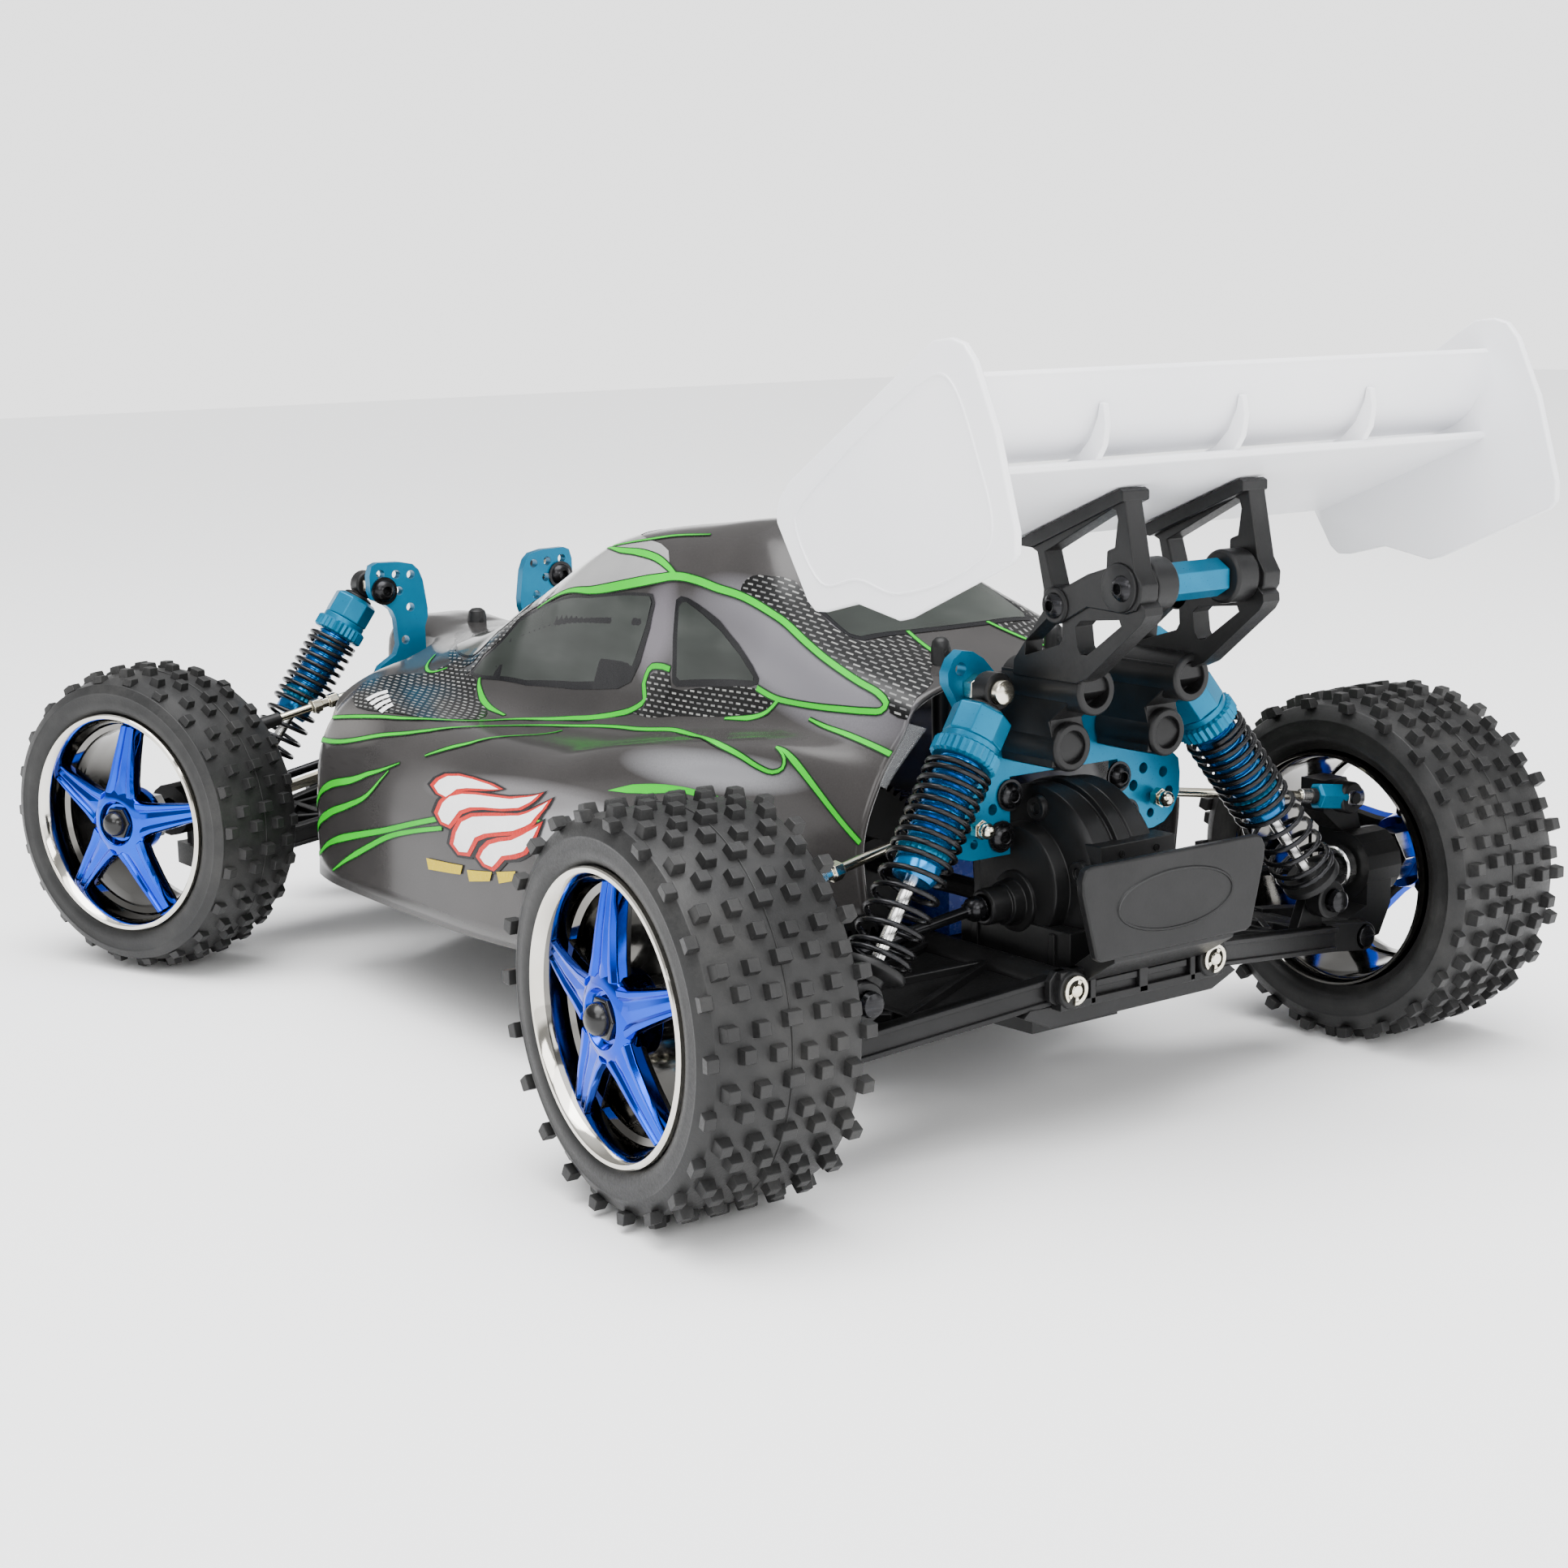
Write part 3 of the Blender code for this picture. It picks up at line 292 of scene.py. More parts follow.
def standing(start, direction):
    """The matrix that takes Z to a direction from a start point."""
    turn = Vector((0, 0, 1)).rotation_difference(Vector(direction)).to_matrix().to_4x4()
    return Matrix.Translation(start) @ turn


def add_prism(bm, outline, axis, low, high):
    """Adds an outline in (y, z), (x, z) or (x, y), extruded along the third axis."""
    face = bm.faces.new([bm.verts.new(along(axis, low, point)) for point in outline])
    grown = bmesh.ops.extrude_face_region(bm, geom=[face])["geom"]
    moved = [item for item in grown if isinstance(item, bmesh.types.BMVert)]
    bmesh.ops.translate(bm, vec=Vector(along(axis, high - low, (0, 0))), verts=moved)


def add_box(bm, x, y, z):
    corners = [(x[0], y[0]), (x[1], y[0]), (x[1], y[1]), (x[0], y[1])]
    add_prism(bm, corners, "z", z[0], z[1])


def add_turned(bm, profile, start, direction, segments=48, phase=0):
    """Adds a profile of (distance, radius) turned about an axis; closed to a ring if open."""
    touching = 1e-6
    place = standing(start, direction) @ Matrix.Rotation(phase, 4, "Z")
    rows = []
    for distance, radius in profile:
        if radius < touching:
            rows.append([bm.verts.new(place @ Vector((0, 0, distance)))] * segments)
        else:
            rows.append([bm.verts.new(place @ around(radius, step / segments, distance))
                         for step in range(segments)])
    if profile[0][1] > touching and profile[-1][1] > touching:
        rows.append(rows[0])
    bridge(bm, rows)


def add_rod(bm, a, b, radius, segments=20, chamfer=0):
    a = Vector(a)
    b = Vector(b)
    length = (b - a).length
    profile = [(0, 0), (0, radius), (length, radius), (length, 0)]
    if chamfer:
        profile = [(0, 0), (0, radius - chamfer), (chamfer, radius), (length - chamfer, radius),
                   (length, radius - chamfer), (length, 0)]
    add_turned(bm, profile, a, b - a, segments)


def add_washer(bm, place, direction, radius, thickness):
    add_turned(bm, [(0, 0), (0, radius), (thickness, radius), (thickness, 0)], place, direction, 28)


def add_ball(bm, centre, radius, segments=20):
    rings = 10
    profile = [(-radius * math.cos(math.pi * step / rings),
                radius * math.sin(math.pi * step / rings))
               for step in range(1, rings)]
    add_turned(bm, [(-radius, 0), *profile, (radius, 0)], centre, (0, 0, 1), segments)


def add_screw(bm, head, direction, radius, height, socket):
    """A button-head screw: domed head with a socket, seen from its outer end."""
    dome = [(height * math.sin(angle), radius * math.cos(angle)) for angle in (0.3, 0.6, 0.9, 1.15)]
    profile = [(0, 0), (0, radius), *dome, (height * 0.95, socket), (height * 0.3, socket * 0.9),
               (height * 0.3, 0)]
    add_turned(bm, profile, head, direction, 18)


def add_tube(bm, points, radius, segments, closed_ends=True):
    """A round wire swept along points."""
    last = len(points) - 1
    tangents = [(points[min(index + 1, last)] - points[max(index - 1, 0)]).normalized()
                for index in range(len(points))]
    normal = tangents[0].orthogonal().normalized()
    rows = []
    for point, tangent in zip(points, tangents):
        normal = (normal - tangent * normal.dot(tangent)).normalized()
        turn = Matrix((normal, tangent.cross(normal), tangent)).transposed()
        rows.append([bm.verts.new(point + turn @ around(radius, step / segments))
                     for step in range(segments)])
    bridge(bm, rows)
    if closed_ends:
        bm.faces.new(rows[0][::-1])
        bm.faces.new(rows[-1])


def punched(outline, holes, axis, low, high):
    """A plate with round holes (centre, radius), as a fresh bmesh cut by Boolean."""
    bm = bmesh.new()
    add_prism(bm, outline, axis, low, high)
    cutters = []
    for centre, radius in holes:
        tool = bmesh.new()
        add_rod(tool, along(axis, low - 5, centre), along(axis, high + 5, centre), radius)
        cutters.append(mesh_object("hole", tool))
    return cut_away(mesh_object("plate_blank", bm), cutters)


def link_object(name, data):
    made = bpy.data.objects.new(name, data)
    bpy.context.scene.collection.objects.link(made)
    return made


def new_object(name, bm):
    """Puts a finished bmesh into the scene."""
    mesh = bpy.data.meshes.new(name)
    bm.to_mesh(mesh)
    bm.free()
    return link_object(name, mesh)


def mesh_object(name, bm):
    """A plain object with outward faces, such as a plate to cut or a cutter."""
    bmesh.ops.recalc_face_normals(bm, faces=bm.faces[:])
    return new_object(name, bm)


def finished(name, bm, material):
    """A mesh drawn in millimetres, moved into the frame and given its finish."""
    bmesh.ops.translate(bm, vec=(MIDDLE, 0, 0), verts=bm.verts[:])
    bmesh.ops.scale(bm, vec=(MM, MM, MM), verts=bm.verts[:])
    made = new_object(name, bm)
    made.data.materials.append(material)
    made.data.shade_smooth()
    return made


def soften(shown, width, angle=35, segments=2):
    """Rounds the edges that are sharper than an angle in degrees."""
    modifier = shown.modifiers.new("edges", "BEVEL")
    modifier.width = width * MM
    modifier.segments = segments
    modifier.limit_method = "ANGLE"
    modifier.angle_limit = math.radians(angle)
    return modifier


def thicken(shown, thickness):
    """Gives a skin its thickness, inwards."""
    modifier = shown.modifiers.new("thickness", "SOLIDIFY")
    modifier.thickness = thickness * MM
    modifier.offset = -1.0


def cut_away(target, cutters):
    """Cuts the cutters out of the target and gives the result back as a bmesh."""
    for tool in cutters:
        modifier = target.modifiers.new("cut", "BOOLEAN")
        modifier.operation = "DIFFERENCE"
        modifier.object = tool
    depsgraph = bpy.context.evaluated_depsgraph_get()
    result = bmesh.new()
    result.from_mesh(target.evaluated_get(depsgraph).to_mesh())
    for used in [target, *cutters]:
        bpy.data.objects.remove(used)
    return result


def face_out(bm, side):
    """Mirrors what was drawn on the left to its side, with its faces outwards."""
    if side < 0:
        bmesh.ops.scale(bm, vec=(1, -1, 1), verts=bm.verts[:])
    bmesh.ops.recalc_face_normals(bm, faces=bm.faces[:])


def piece(name, bm, body, slot, material, side=1, turn=None, bevel=0, angle=35, segments=2,
          replaces=()):
    """Finishes a mesh drawn in millimetres on the left side and hangs it on its body.

    `turn` is a matrix in the car's coordinates, used after mirroring, for the steered wheels.
    """
    face_out(bm, side)
    if turn is not None:
        bmesh.ops.transform(bm, matrix=turn, verts=bm.verts[:])
    made = finished(name, bm, material)
    made.data.set_sharp_from_angle(angle=math.radians(angle))
    if bevel:
        soften(made, bevel, angle, segments).harden_normals = True
    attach(made, body)
    if replaces:
        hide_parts(*replaces)
    return made


# ---------------------------------------------------------------- wheels

def wheel_turn(corner, side):
    """The rotation of a wheel about its kingpin, read from its spin axis in the frame."""
    axis = JOINTS[f"{corner}_spin"]["axis"]
    angle = math.atan2(-axis[0], axis[1])
    place = Vector((car_place(f"{corner}_spin").x, side * KINGPIN_Y, HUB_Z))
    return Matrix.Translation(place) @ Matrix.Rotation(angle, 4, "Z") @ Matrix.Translation(-place)


KNOB_ROWS = 22         # knobs around the tyre in each column
KNOB_HALF = 1.5        # half a knob's length around the tyre


def tread_radius(share, width):
    """The carcass radius under the knobs at a distance across the tread, -1 to 1."""
    crown = TYRE_RADIUS - 2.0
    drop = 0.9 if width > FRONT_WIDTH else 2.4
    return crown - drop * share ** 2 - 12.8 * max(0, abs(share) - 0.72) ** 2


def add_wheel_part(bm, profile, axle, face, segments):
    """Turns a profile of (depth behind the wheel's outer face, radius) about its axle."""
    add_turned(bm, profile, (axle, face, HUB_Z), (0, -1, 0), segments)


def tyre_mesh(axle, face, width):
    """Carcass with moulded sidewall rings and rows of square knobs, staggered like bricks."""
    bm = bmesh.new()
    half = width / 2
    wall = [(1.6, 31.2), (0.7, 31.9), (0.15, 33.2), (0, 34.6), (0.25, 36.4), (0.1, 36.9),
            (0.68, 38.1), (1.4, 39.3)]
    crown = []
    for step in range(9):
        share = -0.88 + 1.76 * step / 8
        crown.append((half * (1 + share), tread_radius(share, width)))
    outer = wall + crown + [(width - depth, radius) for depth, radius in reversed(wall)]
    add_wheel_part(bm, outer + [(width - 2.6, 29.4), (2.6, 29.4)], axle, face, 120)
    middle = tread_radius(0, width)
    seam = [(half - 0.25, middle - 0.1), (half - 0.18, middle + 0.25), (half + 0.18, middle + 0.25),
            (half + 0.25, middle - 0.1)]
    add_wheel_part(bm, seam, axle, face, 120)
    columns, reach = (11, 0.92) if width > FRONT_WIDTH else (7, 0.775)
    for column in range(columns):
        share = reach * (2 * column / (columns - 1) - 1)
        edge = column in (0, columns - 1)
        across = 1.9 if column == columns // 2 else 1.5
        stagger = 0.5 * (column % 2) + 0.06 * math.sin(2.4 * column)
        for row in range(KNOB_ROWS):
            angle = FULL_TURN * (row + stagger) / KNOB_ROWS
            add_knob(bm, axle, face, width, share, angle, edge, across)
    return bm


def add_knob(bm, axle, face, width, share, angle, edge, across):
    """One square knob, narrower at its top; edge rows lean out at the rear, in at the front."""
    rear = width > FRONT_WIDTH
    base = tread_radius(share, width) - 0.5
    if edge:
        drop, lean = (1.3, 0.8 * share) if rear else (2.05, -0.5 * share)
    else:
        drop, lean = (0.25 if rear else 2.2) * share ** 2, 0.0
    rows = []
    for radius, grow, shift in ((base, 1.14, 0), (TYRE_RADIUS - drop, 0.9, lean)):
        row = []
        for a, t in ((-1, -1), (1, -1), (1, 1), (-1, 1)):
            turned = angle + t * KNOB_HALF * grow / radius
            y = face - width / 2 * (1 + share) - a * across * grow - shift
            row.append(bm.verts.new((axle + radius * math.cos(turned), y,
                                     HUB_Z + radius * math.sin(turned))))
        rows.append(row)
    bm.faces.new(rows[1])
    bridge(bm, rows)
    bm.faces.new(rows[0][::-1])


def ring_mesh(axle, face):
    """The bright front lip of the rim."""
    bm = bmesh.new()
    profile = [(1.3, 31), (0.35, 30.95), (0, 30.6), (0, 29.7), (0.4, 29.3), (2.2, 28.5),
               (2.8, 28.9), (2.4, 29.2), (1.6, 29.5)]
    add_wheel_part(bm, profile, axle, face, 96)
    return bm


def barrel_mesh(axle, face, width):
    """The stepped barrel behind the lip, open at both ends."""
    bm = bmesh.new()
    profile = [(2.2, 28.45), (3.4, 27.9), (7, 27.3), (7.4, 26.6), (7.8, 25.9), (9, 25.6),
               (12, 25.6), (12.6, 26.2), (width * 0.55, 26.4), (width - 4, 27.2), (width - 0.4, 28),
               (width, 28.4), (width, 28.9), (2.8, 28.9)]
    add_wheel_part(bm, profile, axle, face, 96)
    return bm


# radius, half width and depth behind the rim's face, along one spoke
STAR_STATIONS = [(8, 5.6, 0.2), (12, 4.5, 0.6), (18, 3.7, 1.3), (24, 3, 2.3), (27.6, 2.7, 3)]
# a spoke's section: share of the half width, and depth behind the face
STAR_FRONT = [(-0.8, 4.4), (-1, 1.3), (-0.86, 0), (-0.62, 0), (-0.42, 0.75), (0, 0.2), (0.42, 0.75),
              (0.62, 0), (0.86, 0), (1, 1.3), (0.8, 4.4)]
STAR_BACK = [(-0.86, 3.9), (-0.7, 5.2), (0.7, 5.2), (0.86, 3.9)]


def spokes_mesh(axle, face, phase, section):
    """Five spokes of one section."""
    bm = bmesh.new()
    for spoke in range(5):
        angle = math.pi / 2 + phase + FULL_TURN * spoke / 5
        ahead = Vector((math.cos(angle), 0, math.sin(angle)))
        across = Vector((-math.sin(angle), 0, math.cos(angle)))
        rows = []
        for radius, half, depth in STAR_STATIONS:
            centre = Vector((axle, face - depth, HUB_Z)) + ahead * radius
            rows.append([bm.verts.new(centre + across * half * share - Vector((0, deep, 0)))
                         for share, deep in section])
        bridge(bm, rows)
        bm.faces.new(rows[0])
        bm.faces.new(rows[-1][::-1])
    return bm


def star_mesh(axle, face, phase):
    """Spokes with raised rims and a shallow groove, meeting in a faceted hub."""
    bm = spokes_mesh(axle, face, phase, STAR_FRONT)
    hub = [(9.5, 0), (9.5, 9), (3, 10.2), (1.2, 9.6), (0.2, 7.8), (-0.1, 6.4), (0.9, 5.9),
           (1.6, 5.4), (1.6, 0)]
    add_wheel_part(bm, hub, axle, face, 60)
    return bm


def nut_mesh(axle, face):
    """A domed black wheel nut on its washer."""
    bm = bmesh.new()
    washer = [(1.6, 0), (1.6, 4.7), (0.4, 4.9), (0, 4.5), (0, 0)]
    dome = [(0.2, 0), (0.2, 3.6), (-1, 3.5), (-2, 3), (-2.9, 2.1), (-3.3, 1), (-3.4, 0)]
    add_wheel_part(bm, washer, axle, face, 6)
    add_wheel_part(bm, dome, axle, face, 36)
    return bm


def axle_mesh(axle, face, cup):
    """Wheel hex, axle and, at the rear, the drive cup behind the hub carrier."""
    bm = bmesh.new()
    add_wheel_part(bm, [(9.5, 0), (9.5, 6.9), (15, 6.9), (15, 0)], axle, face, 6)
    end = (axle, AXLE_END_Y, HUB_Z)
    add_rod(bm, (axle, face - 2, HUB_Z), end, 2.5, 24)
    if cup:
        add_rod(bm, (axle, AXLE_END_Y + 3.6, HUB_Z), end, 5.4, 28, 0.5)
    return bm


def build_wheel(corner, side):
    front = corner.startswith("front")
    axle = FRONT_AXLE if front else REAR_AXLE
    face = FRONT_FACE if front else REAR_FACE
    width = FRONT_WIDTH if front else REAR_WIDTH
    turn = wheel_turn(corner, side)
    phase = math.radians(8 if front else -1)

    def part(name, bm, slot, material, **finish):
        piece(f"{corner}_{name}", bm, f"{corner}_wheel", slot, material, side, turn, **finish)

    part("tyre_tread", tyre_mesh(axle, face, width), "tyre", RUBBER, bevel=0.22, segments=1,
         replaces=[f"{corner}_tyre"])
    part("rim_ring", ring_mesh(axle, face), "wheel", CHROME, replaces=[f"{corner}_rim"])
    part("rim_barrel", barrel_mesh(axle, face, width), "wheel", SHADED_BARREL_CHROME)
    part("rim_star", star_mesh(axle, face, phase), "wheel", STAR_BLUE, bevel=0.25)
    # The back of the spokes is glossy black: painted shade on the sides of the chrome spokes deep
    # in the wheel.
    part("star_back", spokes_mesh(axle, face, phase, STAR_BACK), "wheel", GLOSS_BLACK)
    part("wheel_nut", nut_mesh(axle, face), "dark_steel", GLOSS_BLACK, bevel=0.3)
    part("wheel_axle", axle_mesh(axle, face, not front), "steel", STEEL, bevel=0.2)


# ---------------------------------------------------------------- shocks

REAR_SHOCK_TOP = (-144, 26.5, 100.5)
REAR_SHOCK_FOOT = (-152, 70, 41)
FRONT_SHOCK_TOP = (143, 30.5, 102)
FRONT_SHOCK_FOOT = (149, 72, 41)
SPRING_START = 18.95   # from the top mount down to the coil
SPRING_END = 8.95      # from the coil down to the foot
COIL_RADIUS = 6.9
WIRE_RADIUS = 0.65


def car_to_frame(point, side):
    """A point drawn on the left, on its side and in the frame's metres."""
    return Vector((point[0] + MIDDLE, point[1] * side, point[2])) * MM


def add_knurled(bm, origin, axis, start, end, radius, teeth, depth=0.4):
    """A grip ring: its outline is cut with small teeth and its two edges are turned down."""
    place = standing(origin, axis)
    rows = []
    for distance, shrink in ((start, 0.7), (start + 0.5, 0), (end - 0.5, 0), (end, 0.7)):
        rows.append([bm.verts.new(place @ around(radius - shrink - depth * (step % 2),
                                                 step / (2 * teeth), distance))
                     for step in range(teeth * 2)])
    bridge(bm, rows)
    bm.faces.new(rows[0][::-1])
    bm.faces.new(rows[-1])


def spring_path(top, axis, length):
    """A two-rate coil: close turns above, wide turns below, flat turns at both ends."""
    steps = 20
    flat_rise = 1.35
    height = SPRING_START + WIRE_RADIUS
    span = length - SPRING_END - WIRE_RADIUS - height
    close_rise = 0.47 * span
    across = axis.orthogonal().normalized()
    turn = Matrix((across, axis.cross(across), axis)).transposed()
    share = 0.0
    path = [top + turn @ around(COIL_RADIUS, share, height)]
    for turns, rise in ((1, flat_rise), (8.5, close_rise),
                        (5, span - close_rise - 2 * flat_rise), (1, flat_rise)):
        total = int(turns * steps)
        for _ in range(total):
            share += 1 / steps
            height += rise / total
            path.append(top + turn @ around(COIL_RADIUS, share, height))
    return path


def build_shock(corner, side):
    front = corner.startswith("front")
    top = Vector(FRONT_SHOCK_TOP if front else REAR_SHOCK_TOP)
    foot = Vector(FRONT_SHOCK_FOOT if front else REAR_SHOCK_FOOT)
    outward = 1 if front else -1
    length = (foot - top).length
    axis = (foot - top) / length
    damper = f"{corner}_damper"
    piston = f"{corner}_piston"

    bm = bmesh.new()
    add_turned(bm, [(-2.5, 2.2), (-2.5, 3.7), (-2.1, 4.2), (2.1, 4.2), (2.5, 3.7), (2.5, 2.2)],
               top, (1, 0, 0), 28)
    add_rod(bm, top + axis * 3.2, top + axis * 5.4, 2.6, 20)
    add_turned(bm, [(3.9, 0), (3.9, 3.6), (4.4, 4.4), (5.2, 4.4), (5.2, 0)], top, axis, 24)
    piece(f"{corner}_shock_top_eye", bm, damper, "moulded", BLACK, side, bevel=0.2)

    bm = bmesh.new()
    add_turned(bm, [(5, 0), (5, 5.4), (5.9, 6.75), (12.2, 6.75), (12.6, 6.3), (12.6, 0)],
               top, axis, 8, 0.39)
    add_rod(bm, top + axis * 12.5, top + axis * 14.2, 6.5, 40)
    piece(f"{corner}_shock_cap", bm, damper, "blue_aluminium", CYAN, side, bevel=0.3,
          replaces=[f"{corner}_shock_body"])

    bm = bmesh.new()
    add_knurled(bm, top, axis, 14, 17.9, 7.6, 30)
    add_knurled(bm, top, axis, 37.6, 40.8, 5.65, 24, 0.3)
    piece(f"{corner}_shock_collars", bm, damper, "blue_aluminium", CYAN, side, angle=25)

    bm = bmesh.new()
    profile = [(17.5, 0), (17.5, 5.1)]
    for index in range(16):
        at = 18.0 + index * 1.15
        profile += [(at, 4.75), (at + 0.35, 5.2), (at + 0.6, 5.2), (at + 0.95, 4.75)]
    profile += [(37.6, 4.7), (40.9, 4.7), (41.4, 5.1), (44.6, 5.1), (45.9, 4.4), (45.9, 0)]
    add_turned(bm, profile, top, axis, 36)
    piece(f"{corner}_shock_cylinder", bm, damper, "blue_aluminium", DEEP_BLUE, side)

    bm = bmesh.new()
    add_tube(bm, spring_path(top, axis, length), WIRE_RADIUS, 8)
    face_out(bm, side)
    coil = finished(f"{corner}_coil_spring", bm, DARK_STEEL)
    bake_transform(coil)
    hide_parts(f"{corner}_spring")

    bm = bmesh.new()
    add_rod(bm, top + axis * 30, top + axis * (length - 9), 1.5, 24)
    piece(f"{corner}_piston_rod", bm, piston, "steel", STEEL, side,
          replaces=[f"{corner}_shock_shaft"])

    bm = bmesh.new()
    seat = [(9.4, 0), (9.4, 1.6), (9.4, 2.8), (8.6, 3.4), (7.9, 7), (7.4, 7.2), (6.5, 7.2),
            (6.1, 6.6), (5.4, 3.2), (4, 3), (4, 0)]
    add_turned(bm, [(length - rise, radius) for rise, radius in seat], top, axis, 36)
    add_turned(bm, [(-2.5, 2.7), (-2.5, 4.2), (-2.1, 4.6), (2.1, 4.6), (2.5, 4.2), (2.5, 2.7)],
               foot, (1, 0, 0), 28)
    piece(f"{corner}_spring_seat", bm, piston, "moulded", BLACK, side, bevel=0.15)

    bm = bmesh.new()
    add_ball(bm, top, 2.15)
    add_rod(bm, top + Vector((-2.4, 0, 0)), top + Vector((2.4, 0, 0)), 1.5, 16)
    add_turned(bm, [(2.6, 0), (2.6, 2.9), (4.2, 2.7), (4.6, 1.9), (4.7, 0)], top, (outward, 0, 0),
               24)
    add_turned(bm, [(-6.4, 0), (-6.4, 3.3), (-3.6, 3.3), (-3.6, 0)], top, (outward, 0, 0), 6)
    piece(f"{corner}_shock_bolt", bm, "root", "steel", BRASSY, side, bevel=0.2)


# ---------------------------------------------------------------- towers

def mirrored(half):
    """A closed outline from the (y, z) points of its left half."""
    return half + [(-y, z) for y, z in reversed(half) if y > 0]


def both_sides(points):
    """Round holes ((y, z), radius) on the left and on the right."""
    return [((sign * y, z), radius) for (y, z), radius in points for sign in (1, -1)]


def build_towers():
    front_half = [(0, 77.5), (14.5, 77.5), (16.5, 78.3), (17.4, 80), (17.4, 89), (16.3, 92),
                  (16.2, 94.6), (17.4, 103.1), (18.7, 106.4), (20.7, 108.3), (25, 109.2),
                  (32.4, 109.4), (34.3, 108.6), (35.2, 105.7), (35.2, 101), (34.2, 98.4),
                  (30.6, 96.8), (28.2, 94.8), (27, 92), (26.4, 84.4), (27.6, 81.4), (30.4, 79.8),
                  (33, 78.2), (34, 76.4), (34, 74), (32.8, 72), (29, 70.5), (24.8, 69.2),
                  (23.2, 67.4), (22, 62), (15.9, 62), (15.9, 74.6), (0, 74.6)]
    holes = both_sides([((31.5, 105.9), 1.35), ((26.3, 105.5), 1.35), ((21.4, 105.1), 1.35),
                        ((25.6, 100.5), 1.35), ((22, 95.3), 1.35), ((24.2, 85.6), 1.35),
                        ((29.6, 76.4), 1.2), ((24.4, 74.6), 1.2)])
    plate = punched(mirrored(front_half), holes, "x", 131, 134)
    piece("front_tower_plate", plate, "root", "blue_aluminium", CYAN, bevel=0.3,
          replaces=["front_shock_tower"])

    rear_half = [(0, 97), (8, 97.2), (12, 98), (16.4, 100.2), (20, 103), (23.4, 106.6),
                 (26.4, 108.4), (29.4, 108.9), (32, 107.2), (33.5, 104.4), (33.4, 101.8),
                 (30.8, 97.4), (27.8, 92.4), (26.6, 88.6), (27, 84.4), (28.6, 81.4), (33.2, 79.4),
                 (35.5, 77.4), (36, 74), (35.8, 69.4), (33.6, 65.2), (31, 63), (27.5, 62),
                 (16.2, 62), (16.2, 79.5), (0, 79.5)]
    holes = both_sides([((29.9, 104.9), 1.5), ((25, 100.6), 1.3), ((21.2, 72.7), 1.3),
                        ((24.3, 76.4), 1.3), ((30.6, 74.8), 1.3), ((32.4, 70), 1.3),
                        ((26.6, 65.6), 1.1), ((21, 93), 1.6)])
    plate = punched(mirrored(rear_half), holes, "x", -137.5, -134.5)
    piece("rear_tower_plate", plate, "root", "blue_aluminium", CYAN, bevel=0.3,
          replaces=["rear_shock_tower"])

    for side_name, side in SIDES:
        bm = bmesh.new()
        for y, z in ((16.4, 75.4), (19, 66.4)):
            add_screw(bm, (-137.6, y, z), (-1, 0, 0), 3.1, 2, 1.5)
            add_washer(bm, (-137.5, y, z), (-1, 0, 0), 3.6, 0.5)
        for y, z in ((18.6, 66.2), (19.4, 73.4)):
            add_screw(bm, (134.1, y, z), (1, 0, 0), 3, 2, 1.4)
        add_screw(bm, (130.9, 30.7, 100.9), (-1, 0, 0), 3.5, 2.6, 1.6)
        add_washer(bm, (131, 30.7, 100.9), (-1, 0, 0), 4.2, 0.7)
        piece(f"tower_screws_{side_name}", bm, "root", "dark_steel", DARK_STEEL, side, angle=40)

        bm = bmesh.new()
        for end, x, y, z in (("rear", -140.4, 27, 69.5), ("front", 135.4, 29, 75.5)):
            outward = 1 if end == "front" else -1
            add_turned(bm, [(-1.4, 0), (-1.4, 2.3), (0.6, 2.3), (0.6, 1.2), (1.2, 1.2), (1.2, 0)],
                       (x, y, z), (outward, 0, 0), 6)
            add_ball(bm, (x + outward * 1.8, y, z), 1.9)
        piece(f"tower_ball_nuts_{side_name}", bm, "root", "steel", BRASSY, side, bevel=0.15)


# ---------------------------------------------------------------- wing and its stays

def arc_points(centre, radius, start, end, count):
    """Points of an arc between two angles in degrees."""
    angles = [math.radians(start + (end - start) * step / (count - 1)) for step in range(count)]
    return [(centre[0] + radius * math.cos(angle), centre[1] + radius * math.sin(angle))
            for angle in angles]


def smooth_outline(points, steps):
    """A closed outline through points, as a centripetal Catmull-Rom curve."""
    count = len(points)
    return [spline_point([Vector(points[(index + shift) % count]) for shift in (-1, 0, 1, 2)],
                         step / steps)
            for index in range(count) for step in range(steps)]


def spline_point(four, share):
    """A point between the middle two of four points, on a centripetal Catmull-Rom curve."""
    knots = [0]
    for a, b in zip(four, four[1:]):
        knots.append(knots[-1] + max((b - a).length, 1e-6) ** 0.5)
    at = knots[1] + (knots[2] - knots[1]) * share

    def between(a, b, low, high):
        return a * ((high - at) / (high - low)) + b * ((at - low) / (high - low))

    one = [between(four[i], four[i + 1], knots[i], knots[i + 1]) for i in range(3)]
    two = [between(one[i], one[i + 1], knots[i], knots[i + 2]) for i in range(2)]
    return between(two[0], two[1], knots[1], knots[2])


